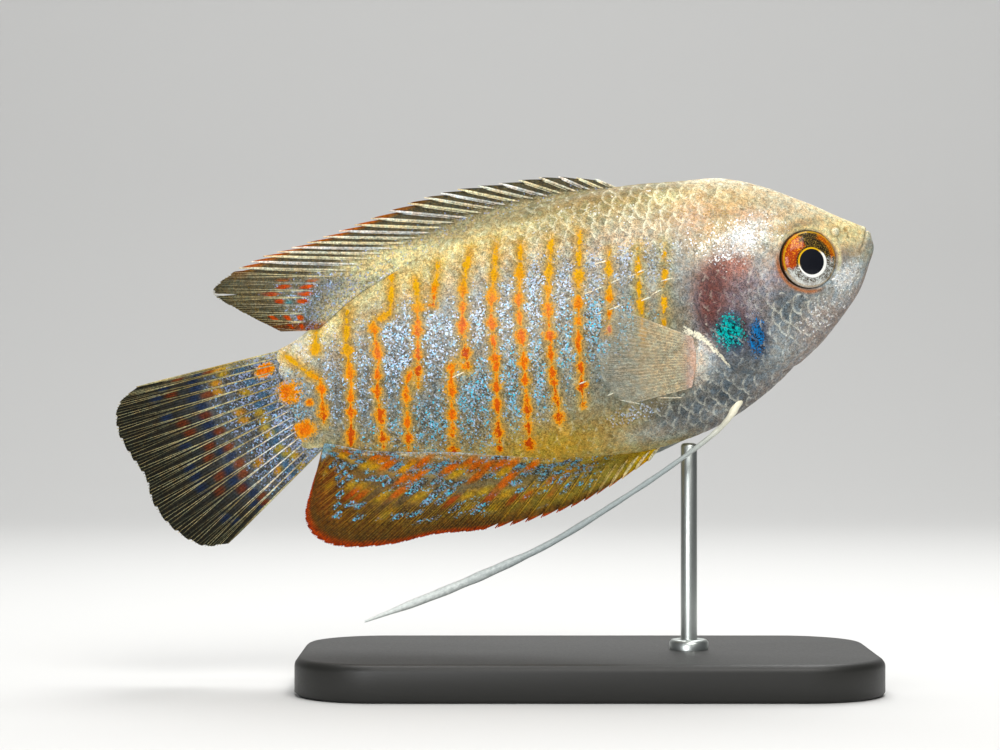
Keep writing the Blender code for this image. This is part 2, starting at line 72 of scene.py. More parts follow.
def smooth_curve(keys, blunt=False):
    """A function through (place, value...) keys, cubic between them.

    A blunt one closes round at the snout.
    """
    table = np.array(keys, float)
    if blunt:
        table[:, 0] = np.sqrt(table[:, 0])
    places, values = table[:, 0], table[:, 1:]
    slopes = np.gradient(values, places, axis=0)

    def value_at(place):
        place = np.asarray(place, float)
        if blunt:
            place = np.sqrt(np.maximum(place, 0))
        place = np.clip(place, places[0], places[-1])
        i = np.clip(np.searchsorted(places, place, side="right") - 1, 0, len(places) - 2)
        span = (places[i + 1] - places[i])[..., None]
        t = (place - places[i])[..., None] / span
        found = (values[i] * (2 * t**3 - 3 * t**2 + 1) + values[i + 1] * (3 * t**2 - 2 * t**3)
                 + span * (slopes[i] * (t**3 - 2 * t**2 + t) + slopes[i + 1] * (t**3 - t**2)))
        return found[..., 0] if values.shape[1] == 1 else found
    return value_at


def line_of(points):
    """A smooth line through points, as a function of 0 to 1."""
    last = len(points) - 1
    return smooth_curve([(i / last, *p) for i, p in enumerate(points)])


def ramp(value, low, high):
    """0 below low, 1 above high, and a soft step between; the other way round if high is the lower."""
    t = np.clip((np.asarray(value, float) - low) / (high - low), 0, 1)
    return t * t * (3 - 2 * t)


back, belly, half_width = [smooth_curve(keys, True) for keys in (BACK, BELLY, HALF_WIDTH)]
widest = smooth_curve(WIDEST)


def half_depth(s, above):
    """How far the body reaches from its widest line: up where above is true, down elsewhere."""
    middle = widest(s)
    return np.where(above, back(s) - middle, middle - belly(s))


def to_part(points):
    """Body-frame points in mm as points of the model, in metres, with the nose up and the slight bend."""
    s, y, h = points[..., 0], points[..., 1], points[..., 2]
    ahead = np.maximum(HEAD_SWING_FROM - s, 0) / HEAD_SWING_FROM
    behind = np.maximum(s - TAIL_SWING_FROM, 0) / (TAIL_TIP - TAIL_SWING_FROM)
    sway = HEAD_SWING * ahead**2 + TAIL_SWING * behind**2
    return np.stack([SNOUT_X - s * math.cos(PITCH) - h * math.sin(PITCH), y + sway,
                     SNOUT_Z - s * math.sin(PITCH) + h * math.cos(PITCH)], -1) * MM


def along_line(s, h, points):
    """For places (s, h): distance to a line of points, distance along it, and +1 or -1 for its side."""
    points = np.array(points, float)
    nearest, along, side = np.full(np.shape(s), 1e9), np.zeros(np.shape(s)), np.ones(np.shape(s))
    run = 0.0
    for a, b in zip(points, points[1:]):
        step = b - a
        length = math.hypot(*step)
        t = np.clip(((s - a[0]) * step[0] + (h - a[1]) * step[1]) / length**2, 0, 1)
        ds, dh = s - a[0] - t * step[0], h - a[1] - t * step[1]
        distance = np.hypot(ds, dh)
        closer = distance < nearest
        nearest = np.where(closer, distance, nearest)
        along = np.where(closer, run + t * length, along)
        side = np.where(closer, np.where(step[0] * dh - step[1] * ds > 0, 1, -1), side)
        run += length
    return nearest, along, side, run


print("body height at its deepest, in mm:", round(float(back(28) - belly(28)), 1))

# %% [markdown]
# On the live fish the head isn't smooth: the gill cover stands proud and ends in a thin free edge, the
# eye sits in a rimmed socket, two lips close on a slanting cleft, and each nostril is a small rimmed
# pit. A modeller would press these into the clay. Here each is a bump or groove, worked out from the
# distance to a line or a point, and added straight out of the body's plain surface.

# %% The relief of the head
GILL_EDGE = [(13.5, 14.0), (15.0, 10.8), (17.0, 6.1), (18.0, 3.3), (18.7, 0.2), (18.7, -2.4), (18.2, -4.4),
             (17.5, -6.7), (16.5, -8.3), (14.8, -9.1), (12.5, -9.4), (7.5, -9.6)]
GILL_LIFT, GILL_RAMP, GILL_STEP, GILL_TOP = 0.36, 6.0, 0.14, 5.0
EYE_S, EYE_H, EYE_Y, EYE_RADIUS, EYE_TOE = 6.95, 0.13, 2.85, 2.9, math.radians(14)
SOCKET_DEPTH, SOCKET_RIM = 1.8, 0.16
CLEFT_TIP, CLEFT_CORNER = (0.1, 1.65), (1.7, -0.5)
LIP_LIFT, CLEFT_DEPTH = 0.13, 0.26
NOSTRIL_BULB, NOSTRIL_PIT, BULB_RADIUS, PIT_RADIUS = (3.55, 2.05), (2.5, 1.95), 0.34, 0.2
JAW_FOLD = [(2.9, 0.5), (2.85, -0.7), (2.5, -1.7), (1.9, -2.2)]
CHEEK_PLATE = [(12.4, 1.6), (13.2, -1.0), (13.9, -4.2), (13.9, -6.4), (13.0, -8.4), (10.6, -8.5)]
EYE_PLATE = [(3.2, -1.2), (4.2, -3.3), (6.6, -4.2), (9.0, -3.6), (10.6, -1.6), (10.9, 0.8)]
FIN_PAD, FIN_PAD_REACH, FIN_PAD_LIFT = (20.5, -6.4), (0.55, 1.9), 0.4
SCALE_DEPTH = 0.17
gill_line = [tuple(p) for p in line_of(GILL_EDGE)(np.linspace(0, 1, 34))]


def behind_gills(s, h):
    """Distance behind the gill cover's free edge in mm, negative on the cover."""
    distance, _, side, _ = along_line(s, h, gill_line)
    return distance * side


def mound(distance, width):
    """A soft bump: 1 at no distance, near 0 beyond twice the width."""
    return np.exp(-((distance / width) ** 2))


def gill_cover(s, h):
    """The cover swells towards its free edge and drops there in one step."""
    beyond = behind_gills(s, h)
    held = ramp(h, GILL_TOP, 1.5) * ramp(h, -10.5, -7.5)
    lift = GILL_LIFT * held * mound(np.minimum(beyond, 0), GILL_RAMP) * ramp(beyond, 0.04, -GILL_STEP)
    return lift - 0.05 * held * mound(beyond - 0.12, 0.2)


def face_plates(s, h):
    """The edge of the cheek's plate, the ring of small bones under the eye, and the jaw's fold."""
    plate, _, side, _ = along_line(s, h, CHEEK_PLATE)
    lift = 0.09 * mound(plate + 0.25 * side, 0.4) - 0.1 * mound(plate - 0.15 * side, 0.22)
    ring, _, _, _ = along_line(s, h, EYE_PLATE)
    lift += 0.05 * mound(ring, 0.3)
    fold, _, side, _ = along_line(s, h, JAW_FOLD)
    return lift + 0.07 * mound(fold + 0.22 * side, 0.2) - 0.12 * mound(fold, 0.1)


def eye_socket(s, h):
    """A raised rim round the eye, and the hollow that holds it."""
    from_eye = np.hypot(s - EYE_S, h - EYE_H)
    rim = SOCKET_RIM * mound(from_eye - EYE_RADIUS - 0.38, 0.3)
    return rim - SOCKET_DEPTH * ramp(from_eye, EYE_RADIUS + 0.03, EYE_RADIUS - 0.28)


def nostrils(s, h):
    """The bulb of the rear nostril and the rimmed pit of the front one."""
    bulb = 0.3 * mound(np.hypot(s - NOSTRIL_BULB[0], h - NOSTRIL_BULB[1]), BULB_RADIUS)
    from_pit = np.hypot(s - NOSTRIL_PIT[0], h - NOSTRIL_PIT[1])
    rim = 0.1 * mound(from_pit - PIT_RADIUS * 1.6, 0.14)
    return bulb + rim - 0.16 * ramp(from_pit, PIT_RADIUS * 1.3, PIT_RADIUS * 0.4)


def mouth(s, h):
    """The two lips and the cleft between them."""
    tip, corner = np.array(CLEFT_TIP), np.array(CLEFT_CORNER)
    way = corner - tip
    length = math.hypot(*way)
    t = ((s - tip[0]) * way[0] + (h - tip[1]) * way[1]) / length**2
    apart = np.abs((s - tip[0]) * way[1] - (h - tip[1]) * way[0]) / length
    lips = LIP_LIFT * mound(apart - 0.36 * (1 - 0.4 * np.clip(t, 0, 1) ** 2), 0.26) * ramp(t, 1.12, 0.7)
    return lips - CLEFT_DEPTH * mound(apart, 0.075) * ramp(t, 1.06, 0.93)


def relief(s, h):
    """How far the head's forms, and the pad under the pectoral fin, stand out of the plain body, in mm."""
    pad = np.hypot((s - FIN_PAD[0]) / FIN_PAD_REACH[0], (h - FIN_PAD[1]) / FIN_PAD_REACH[1])
    forms = gill_cover, face_plates, eye_socket, nostrils, mouth
    return sum(form(s, h) for form in forms) + FIN_PAD_LIFT * mound(pad, 1.0)


def surface(s, turn):
    """Points and outward directions of the skin, on the fish's left. turn goes up from the widest line."""
    def plain(s, turn):
        rise = np.sin(turn)
        inset = SCALE_DEPTH * ramp(s, 3.0, 9.0)
        reach = half_depth(s, rise > 0) - inset
        out = (half_width(s) - inset) * np.cos(turn)
        return np.stack([s + 0 * turn, out, widest(s) + reach * rise], -1)
    tiny = 0.02
    here = plain(s, turn)
    along = plain(s + tiny, turn) - plain(np.maximum(s - tiny, SKIN_START / 2), turn)
    around = plain(s, turn + tiny) - plain(s, turn - tiny)
    out = np.cross(around, along)
    out /= np.linalg.norm(out, axis=-1, keepdims=True)
    return here + out * relief(here[..., 0], here[..., 2])[..., None], out


print("relief at the gill edge, in mm:", np.round(relief(np.array([18.4, 18.9]), np.array([0.0, 0.0])), 2))

# %% [markdown]
# A few helpers do the clerical work: they turn arrays of points and faces into a mesh whose faces look
# outwards, and hang colours or numbers on its points for the paint to use. All the shapes of this model
# pass through them.

# %% Helpers that make meshes
def add_object(name, data):
    """A new object in the scene, at the origin."""
    made = bpy.data.objects.new(name, data)
    bpy.context.scene.collection.objects.link(made)
    return made


def make_mesh(name, points, faces, corner_uv=None):
    """A smooth mesh object from points in metres and a list of face arrays, turned to face outwards."""
    points = np.asarray(points, float).reshape(-1, 3)
    volume = 0.0
    for block in faces:
        for k in range(1, block.shape[1] - 1):
            a, b, c = points[block[:, 0]], points[block[:, k]], points[block[:, k + 1]]
            volume += float((np.cross(a, b) * c).sum())
    if volume < 0:
        faces = [block[:, ::-1] for block in faces]
        corner_uv = None if corner_uv is None else [block[:, ::-1] for block in corner_uv]
    sizes = np.concatenate([np.full(len(block), block.shape[1]) for block in faces])
    corners = np.concatenate([block.ravel() for block in faces])
    mesh = bpy.data.meshes.new(name)
    mesh.vertices.add(len(points))
    mesh.vertices.foreach_set("co", points.astype(np.float32).ravel())
    mesh.loops.add(len(corners))
    mesh.loops.foreach_set("vertex_index", corners.astype(np.int32))
    mesh.polygons.add(len(sizes))
    mesh.polygons.foreach_set("loop_start", (np.cumsum(sizes) - sizes).astype(np.int32))
    mesh.update(calc_edges=True)
    mesh.validate()
    mesh.shade_smooth()
    if corner_uv is not None:
        flat = np.concatenate([block.reshape(-1, 2) for block in corner_uv])
        mesh.uv_layers.new(name="OFBake").data.foreach_set("uv", flat.astype(np.float32).ravel())
    return add_object(name, mesh)


def grid_faces(rows, columns, closed, first=0):
    """Faces of four between rows of points, which may close into rings."""
    i, j = np.meshgrid(np.arange(rows - 1), np.arange(columns if closed else columns - 1), indexing="ij")
    k = (j + 1) % columns
    return np.stack([i * columns + j, i * columns + k, (i + 1) * columns + k, (i + 1) * columns + j],
                    -1).reshape(-1, 4) + first


def fan_faces(ring, middle):
    """Faces of three that close a ring of point numbers to one middle point."""
    return np.stack([ring, np.roll(ring, -1), np.full(len(ring), middle)], -1)


def set_field(made, name, values, vector=False):
    """Hangs a number, a colour or a vector on each of a mesh's points."""
    values = np.asarray(values, float)
    if values.ndim == 1:
        kind, part = "FLOAT", "value"
    elif vector:
        kind, part = "FLOAT_VECTOR", "vector"
    else:
        kind, part = "FLOAT_COLOR", "color"
        if values.shape[1] == 3:
            values = np.concatenate([values, np.ones((len(values), 1))], 1)
    field = made.data.attributes.new(name, kind, "POINT")
    field.data.foreach_set(part, values.astype(np.float32).ravel())


def read_points(made):
    """A mesh's points as an array, in metres."""
    flat = np.zeros(len(made.data.vertices) * 3, np.float32)
    made.data.vertices.foreach_get("co", flat)
    return flat.reshape(-1, 3).astype(float)


def report(made):
    """Prints how many faces and what size a piece has."""
    points = read_points(made)
    size = (points.max(0) - points.min(0)) / MM
    print(made.name, "has", len(made.data.polygons), "faces and measures, in mm:", np.round(size, 1))


# %% [markdown]
# A painter would lay out a row of named paints before starting. These are they, as red, green and blue
# from 0 to 255. A wash is a soft patch of one paint over what is there already, with a place, a reach
# along and across, a turn and a strength. A stroke is a wash along a line.

# %% The paints
PAINTS = {
    "white": (238, 238, 232), "cream": (240, 234, 208), "straw": (228, 216, 156), "sand": (214, 200, 162),
    "tan": (206, 178, 126), "blush": (216, 186, 166), "chin": (158, 148, 142), "wheat": (206, 186, 110),
    "silver": (206, 212, 208), "pearl": (176, 178, 172), "ash": (158, 158, 148), "mist": (150, 160, 160),
    "stone": (134, 140, 130), "slate": (98, 106, 110), "moss": (158, 150, 112), "olive": (118, 112, 78),
    "fern": (146, 142, 48), "moor": (58, 54, 32), "bark": (84, 66, 38), "soot": (44, 44, 40),
    "pitch": (26, 27, 24), "ochre": (176, 142, 58), "honey": (158, 122, 66), "haze": (204, 156, 56),
    "gold": (198, 152, 20), "yellow": (230, 180, 8), "amber": (234, 150, 4), "orange": (216, 92, 0),
    "ember": (184, 62, 2), "rust": (124, 46, 12), "umber": (104, 72, 24), "sienna": (170, 104, 62),
    "rose": (186, 126, 112), "maroon": (108, 66, 62), "mauve": (136, 118, 122), "iris": (138, 152, 190),
    "lilac": (190, 206, 234), "sky": (128, 192, 228), "cyan": (40, 196, 226), "jade": (0, 206, 200),
    "teal": (10, 120, 136), "azure": (10, 128, 200), "blue": (46, 92, 128), "navy": (28, 44, 76),
}


def paint(name):
    """A named paint as an array from 0 to 1."""
    return np.array(PAINTS[name], float) / 255


def to_light(colour):
    """Paint values as the amounts of light that a renderer works with."""
    colour = np.clip(colour, 0, 1)
    return np.where(colour <= 0.04045, colour / 12.92, ((colour + 0.055) / 1.055) ** 2.4)


def blend(colour, name, share):
    """Mixes a share of a named paint into a colour."""
    return colour + (paint(name) - colour) * np.clip(share, 0, 1)[..., None]


def lay(colour, *coats):
    """Blends coats, each a paint's name and its share, into a colour."""
    for name, share in coats:
        colour = blend(colour, name, share)
    return colour


def patch(s, h, centre_s, centre_h, reach_s, reach_h, turn=0.0):
    """How much of a soft oval patch lies at each place: 1 in its middle, about a third at its reach."""
    a = math.radians(turn)
    ds, dh = s - centre_s, h - centre_h
    u = (ds * math.cos(a) + dh * math.sin(a)) / reach_s
    v = (dh * math.cos(a) - ds * math.sin(a)) / reach_h
    return np.exp(-((u * u + v * v) ** 1.35))


def keyed_paint(keys, place):
    """A colour that runs evenly from each (place, paint name) key to the next."""
    places, colours = [at for at, _ in keys], np.array([paint(name) for _, name in keys])
    return np.stack([np.interp(place, places, colours[:, k]) for k in range(3)], -1)

print("paints:", len(PAINTS))

# %% [markdown]
# The flank is silver above and slate below, the back straw coloured and the belly honey. The gill cover
# is a bruised maroon, the nape tan, and white lies behind the eye. The cream along the top edge of the
# head, the nape and the tail stem is painted light, the bright rim that light from above gives the back.
# Washes over a few shades from belly to back give all that. They are listed in the body's own frame, so
# that the skin and the scales over it get exactly the same paint.

# %% Shades and washes of the body
# Height from the keel, -1, over the widest line, 0, to the ridge, 1
# The cream at the ridge of the head is painted light: the bright rim that light from above gives the top
# edge.
HEAD_SHADES = [(-1.0, "chin"), (-0.7, "mist"), (-0.35, "mist"), (0.0, "mauve"), (0.35, "sand"),
               (0.62, "tan"), (0.85, "sand"), (0.95, "sand"), (1.0, "cream")]
TRUNK_SHADES = [(-1.0, "wheat"), (-0.75, "moss"), (-0.4, "stone"), (0.0, "ash"), (0.45, "pearl"),
                (0.68, "sand"), (0.86, "straw"), (0.95, "moss"), (1.0, "moss")]
# Paint, place (s, h), reach along and across, turn in degrees, strength
WASHES = [
    ("olive", 1.6, 0.9, 3.2, 2.2, 20, 0.3), ("straw", 2.6, 1.4, 3.2, 2.0, 20, 0.6),
    ("mist", 0.2, 0.3, 0.9, 1.0, 0, 0.6), ("sand", 7.9, 5.4, 4.0, 1.4, 35, 0.6),
    ("ash", 8.0, 6.2, 3.5, 1.4, 38, 0.3), ("tan", 13.8, 7.4, 4.6, 2.2, 12, 0.55),
    ("blush", 16.8, 7.0, 2.4, 1.8, 0, 0.6), ("white", 12.6, 3.8, 3.4, 1.6, -18, 0.9),
    ("blush", 11.4, 5.8, 2.2, 0.8, 20, 0.5), ("mauve", 15.7, -2.3, 3.6, 4.6, 0, 0.9),
    ("rose", 14.6, 1.4, 2.2, 1.1, 0, 0.85), ("maroon", 17.5, -1.7, 1.3, 3.2, 8, 0.9),
    ("maroon", 16.2, 0.6, 1.3, 2.4, 20, 0.6), ("mist", 13.2, -2.1, 1.2, 1.2, 0, 0.4),
    ("slate", 10.1, -3.6, 2.3, 2.0, 0, 0.6), ("silver", 11.4, 0.6, 1.1, 2.4, 10, 0.5),
    ("white", 3.7, -2.4, 1.6, 0.75, -28, 0.95), ("silver", 6.2, -4.6, 2.4, 0.7, -22, 0.55),
    ("chin", 8.0, -6.2, 3.6, 1.5, -30, 0.85), ("bark", 6.9, 3.5, 2.4, 0.5, 0, 0.4),
    # The cream wash first on the next line lies on the nape's top edge: painted rim light from above.
    ("cream", 20.5, 13.0, 5.0, 0.9, 0, 0.9), ("slate", 15.3, -7.6, 2.2, 1.2, -10, 0.65),
    ("navy", 16.0, -4.8, 1.7, 1.9, 14, 0.9), ("teal", 16.3, -4.5, 1.2, 1.3, 14, 0.95),
    ("navy", 13.8, -6.0, 0.9, 1.8, 14, 0.9), ("blue", 13.8, -5.6, 0.5, 1.2, 14, 0.8),
    ("maroon", 14.9, -4.4, 0.3, 1.6, 14, 0.6), ("mist", 11.8, -8.2, 3.0, 1.2, -24, 0.5),
    ("slate", 18.5, -10.2, 4.4, 2.4, -12, 0.95), ("slate", 23.0, -11.2, 4.0, 1.9, 0, 0.95),
    ("silver", 19.6, -11.8, 1.6, 0.8, 0, 0.5), ("blush", 20.6, -6.3, 0.7, 2.2, 0, 0.9),
    ("white", 19.3, -5.9, 1.2, 1.5, 40, 0.85), ("cream", 20.5, -6.0, 0.9, 2.0, 0, 0.6),
    ("olive", 27.0, 10.0, 7.0, 2.0, 4, 0.3), ("olive", 29.0, 11.9, 9.0, 1.3, 4, 0.45),
    # The cream wash first on the next line lies on the tail stem's top edge: painted rim light from above.
    ("cream", 58.8, 5.9, 3.4, 0.9, -14, 0.9), ("mist", 20.4, 2.2, 1.6, 4.4, 0, 0.45),
    ("olive", 20.6, -2.2, 1.4, 2.4, 0, 0.35), ("olive", 26.0, -4.0, 3.4, 3.6, 0, 0.45),
    ("sand", 22.0, 7.0, 3.4, 2.2, 0, 0.6), ("blush", 24.5, 6.6, 4.0, 1.2, 0, 0.3),
    ("honey", 24.7, 11.0, 5.0, 1.2, 4, 0.35), ("ochre", 31.0, -10.6, 4.6, 1.9, 0, 0.5),
    ("gold", 36.5, -10.4, 5.0, 2.0, 10, 0.6), ("honey", 45.0, -6.6, 5.0, 2.4, 12, 0.3),
    ("mist", 49.0, -3.6, 2.6, 3.6, 0, 0.5), ("straw", 42.0, 10.2, 7.0, 1.5, -12, 0.6),
    ("straw", 52.0, 7.6, 4.5, 1.6, -28, 0.8), ("slate", 49.0, 1.0, 6.0, 4.5, 0, 0.5),
    ("slate", 45.5, -5.5, 4.5, 3.0, 12, 0.3), ("tan", 52.0, 4.0, 5.0, 2.0, -20, 0.3),
    # The cream wash second on the next line, on the upper tail stem, is painted rim light from above.
    ("stone", 57.2, 0.6, 2.6, 4.6, 0, 0.6), ("cream", 57.0, 5.0, 3.4, 1.5, -18, 0.7),
    ("slate", 53.4, -1.8, 3.6, 3.6, 0, 0.5), ("pearl", 25.8, -12.0, 4.0, 1.1, 8, 0.6),
    ("honey", 52.5, -5.8, 4.0, 1.4, 18, 0.3),
]
KEEL_LINE_FROM, KEEL_LINE_LEVEL = 42.0, -0.97


def ground_paint(s, h):
    """The shades from belly to back, with all the washes over them."""
    middle = widest(s)
    level = np.clip((h - middle) / half_depth(s, h > middle), -1, 1)
    colour = keyed_paint(HEAD_SHADES, level)
    on_trunk = ramp(s + 0.25 * h, 16.5, 21.0)[..., None]
    colour = colour + (keyed_paint(TRUNK_SHADES, level) - colour) * on_trunk
    for name, *place, strength in WASHES:
        colour = blend(colour, name, strength * patch(s, h, *place))
    keel_line = mound(level - KEEL_LINE_LEVEL, 0.06) * ramp(s, KEEL_LINE_FROM, KEEL_LINE_FROM + 4)
    return blend(colour, "sand", keel_line * 0.8)


def paint_face(s, h, colour):
    """Lays the rings round the eye, warm below and behind it, and nostrils with painted shade over a
    colour.
    """
    from_eye = np.hypot(s - EYE_S, h - EYE_H)
    below_behind = ((s - EYE_S) * 0.77 - (h - EYE_H) * 0.64) / np.maximum(from_eye, 1e-6)
    around_eye = mound(from_eye - EYE_RADIUS - 0.2, 0.2)
    from_bulb = np.hypot(s - NOSTRIL_BULB[0], h - NOSTRIL_BULB[1])
    from_pit = np.hypot(s - NOSTRIL_PIT[0], h - NOSTRIL_PIT[1])
    return lay(colour, ("sienna", around_eye * ramp(below_behind, 0.25, 0.8) * 0.9),
               ("straw", around_eye * ramp(below_behind, 0.1, -0.6) * 0.7),
               # Painted shade round the foot of the nostril's bulb.
               ("bark", mound(from_bulb - BULB_RADIUS * 1.5, 0.14) * 0.25),
               ("cream", ramp(from_bulb, BULB_RADIUS * 1.25, BULB_RADIUS * 0.85) * 0.5),
               # Painted shade in the nostril's pit.
               ("bark", mound(from_pit, PIT_RADIUS) * 0.4))


print("washes:", len(WASHES), "over", len(HEAD_SHADES) + len(TRUNK_SHADES), "shades")

# %% [markdown]
# The bars of this fish aren't stripes with a hard edge. Each is a row of ragged spots down the flank, red
# orange at its foot and yellow at its top, in a haze of ochre. So a bar is a line of points with a bead
# that swells and thins along it, and four round blotches stand alone before the tail.

# %% The bars
# Points from top to bottom, strength, share that is yellow from the top
BARS = [
    ([(46.2, 9.6), (46.6, 8.0), (47.3, 6.0), (49.1, 5.6), (49.5, 2.4), (50.5, -0.8), (51.4, -6.4)],
     1.0, 0.3),
    ([(51.3, 7.4), (52.1, 4.7), (52.7, 0.9), (54.6, -5.8)], 1.0, 0.4),
    ([(54.8, 6.2), (55.3, 4.6)], 0.8, 1.0),
    ([(58.4, 4.9), (56.4, 2.4), (55.6, 1.6), (56.1, -1.1), (56.4, -2.5)], 0.95, 0.5),
    ([(44.0, 8.6), (44.4, 6.2), (45.5, 2.4), (46.5, -1.5)], 1.05, 0.25),
    ([(46.9, 0.0), (47.7, -1.2), (48.4, -4.3), (49.3, -7.9)], 1.0, 0.0),
    ([(41.5, 9.4), (42.3, 7.5), (43.0, 5.8)], 0.95, 0.75),
    ([(41.6, -1.1), (42.4, -0.3), (43.0, -0.7), (45.2, -9.2)], 1.05, 0.0),
    ([(38.1, 9.9), (39.7, 6.8), (40.9, 2.7), (41.4, -1.0)], 1.0, 0.35),
    ([(35.5, 9.8), (37.9, 3.3), (38.8, -1.7), (40.6, -9.6)], 1.05, 0.22),
    ([(33.3, 9.1), (35.2, 3.0), (36.3, -3.4), (37.7, -10.0)], 1.05, 0.2),
    ([(30.4, 8.5), (32.3, 3.2), (33.7, -3.5), (34.3, -8.8)], 1.0, 0.25),
    ([(27.6, 8.5), (29.2, 3.2), (30.5, -1.5), (31.7, -7.6)], 0.9, 0.35),
    ([(25.3, 6.1), (26.1, 3.6), (26.6, 1.3), (27.5, -1.4)], 0.68, 0.7),
    ([(22.6, 5.6), (23.7, 1.4), (24.1, -1.3), (24.6, -3.4)], 0.6, 1.0),
    ([(20.0, 5.3), (21.1, 1.6), (22.4, -2.8)], 0.45, 1.0),
]
BAR_WIDTH, BAR_SPOT, BAR_PITCH, HALO = 0.08, 0.3, 2.1, 0.75
# Place and radius
BLOTCHES = [(60.6, 3.8, 0.9), (59.3, 1.3, 1.5), (58.5, -2.6, 1.2), (57.2, -0.2, 0.5)]


def bar_heat(share, top):
    """From 0 for red to 1 for yellow, at shares of the way down a bar whose top part is yellow."""
    if top > 0.9:
        return 0.95 - 0.1 * share
    yellow_top = 0.42 * min(4 * top, 1) * ramp(share, top + 0.35, top * 0.3)
    return 0.5 + yellow_top - 0.35 * ramp(share, 0.5, 1.0)


def paint_bars(s, h, colour):
    """A colour with the bars' haze over it, and how much bar, how yellow and how near it is."""
    bar, yellow, near = np.zeros(s.shape), np.zeros(s.shape), np.full(s.shape, 9.0)
    for k, (points, strength, top) in enumerate(BARS):
        distance, along, _, length = along_line(s, h, points)
        share = along / length
        turn = 2 * math.pi * along / BAR_PITCH + 0.9 * np.sin(along * 1.1 + 2.4 * k) + k
        spot = ramp(np.cos(turn), -0.55, 0.45)
        width = (BAR_WIDTH + BAR_SPOT * spot * (0.85 + 0.3 * np.sin(along * 2.3 + 5.1 * k))) * strength
        width = width * (0.55 + 0.45 * ramp(share, 0.0, 0.3))
        this = np.maximum(np.clip(1 - distance / width / 3, 0, 1), 0.42 * strength * mound(distance, 0.5))
        yellow = np.where(this > bar, bar_heat(share, top), yellow)
        bar = np.maximum(bar, this)
        near = np.minimum(near, distance + 0.4 * (0.5 - spot))
        haze = "gold" if top > 0.9 else "haze"
        colour = blend(colour, haze, 0.8 * mound(distance, HALO) * min(strength, 1))
    for place_s, place_h, radius in BLOTCHES:
        distance = np.hypot((s - place_s) * 0.8, h - place_h)
        yellow = np.where(distance < radius * 1.3, 0.66, yellow)
        bar = np.maximum(bar, np.clip(1 - 0.65 * (distance / radius) ** 1.5, 0, 1))
        near = np.minimum(near, distance)
    return colour, bar, yellow, near


print("bars:", len(BARS), "blotches:", len(BLOTCHES))

# %% [markdown]
# Between the bars the flank glitters pale blue, the gill cover carries two bright blue patches, and white
# sparkles lie behind the eye. The painter only says how much glitter lies where and how blue it is, as a
# sum of soft patches; the material makes the cells. Pepper, gold flecks and the pale rims of the scales
# are laid out the same way.

# %% Glitter, flecks, and the body's painter
# Place, reach, turn, amount, and blueness from 0 for white to 1 for jade
GLITTER = [
    (12.6, 3.6, 3.6, 2.0, -18, 0.95, 0.0), (16.6, 4.8, 3.0, 1.8, 0, 0.45, 0.05),
    (7.0, -5.2, 5.0, 1.4, -24, 0.4, 0.0), (3.7, -2.4, 1.9, 1.0, -28, 1.2, 0.0),
    (16.25, -4.6, 1.35, 1.4, 14, 1.5, 1.0), (13.85, -5.8, 0.8, 1.7, 14, 1.3, 0.9),
    (14.0, -2.0, 4.0, 4.5, 0, 0.06, 0.0), (24.5, 4.2, 4.5, 2.0, 0, 0.75, 0.3),
    (31.5, 4.8, 7.0, 2.4, 0, 0.85, 0.4), (29.0, -0.6, 5.5, 3.6, 0, 0.85, 0.75),
    (37.0, 3.0, 9.0, 3.4, -6, 0.85, 0.45), (39.0, -3.6, 9.0, 4.6, -8, 0.8, 0.75),
    (46.0, -5.8, 7.4, 3.2, 14, 0.85, 0.8), (47.0, 1.8, 6.0, 5.0, -20, 0.85, 0.5),
    (53.0, 0.6, 4.0, 4.6, 0, 0.75, 0.55), (59.0, 0.6, 2.2, 3.4, 0, 0.8, 0.7),
    (27.0, -9.6, 3.0, 1.0, 0, 0.5, 0.25), (56.4, 5.0, 3.6, 1.4, -18, 0.6, 0.05),
    (24.0, 9.6, 14.0, 2.0, 4, 0.16, 0.0),
]
# An even amount, then patches: place, reach, turn, amount
PEPPER = (0.35, [(15.5, -2.0, 4.5, 5.5, 0, 0.5), (19.5, -10.4, 5.0, 2.4, 0, 0.5),
                 (38.0, -4.5, 14.0, 4.0, 0, 0.4), (10.0, -3.5, 3.0, 2.5, 0, 0.35),
                 (32.0, 9.4, 20.0, 3.6, -2, 0.35)])
GOLD_FLECKS = (0.0, [(16.0, 7.4, 5.5, 2.2, 10, 1.0), (38.0, 9.6, 16.0, 2.2, -6, 0.7),
                     (36.0, -10.0, 7.0, 2.4, 0, 0.6), (3.0, 0.5, 3.0, 3.0, 0, 0.4)])
PALE_RIMS = (0.25, [(19.5, -10.6, 7.0, 2.8, 0, 0.35), (9.5, -4.0, 3.6, 3.0, 0, 0.5),
                    (26.0, 9.0, 14.0, 2.6, 0, 0.4), (20.5, 8.0, 4.0, 3.5, 0, 0.4)])
GILL_STREAK = [(20.3, -3.3), (18.9, -4.5), (17.8, -6.4), (17.1, -7.8)]
GLITTER_BETWEEN_BARS_FROM = 22


def patches(s, h, recipe):
    """An even amount with soft patches added, kept between 0 and 1."""
    even, spots = recipe
    return np.clip(even + sum(amount * patch(s, h, *place) for *place, amount in spots), 0, 1)


def glitter_at(s, h, near):
    """How much glitter lies at each place, and how blue it is. There is little of it in a bar."""
    amount, blueness, total = np.zeros(s.shape), np.zeros(s.shape), np.full(s.shape, 1e-6)
    for *place, strength, hue in GLITTER:
        share = patch(s, h, *place) * strength
        amount = np.maximum(amount, share)
        blueness += share**3 * hue
        total += share**3
    free = 0.12 + 0.88 * ramp(near, 0.45, 0.8)
    return amount * np.where(s > GLITTER_BETWEEN_BARS_FROM, free, 1), blueness / total


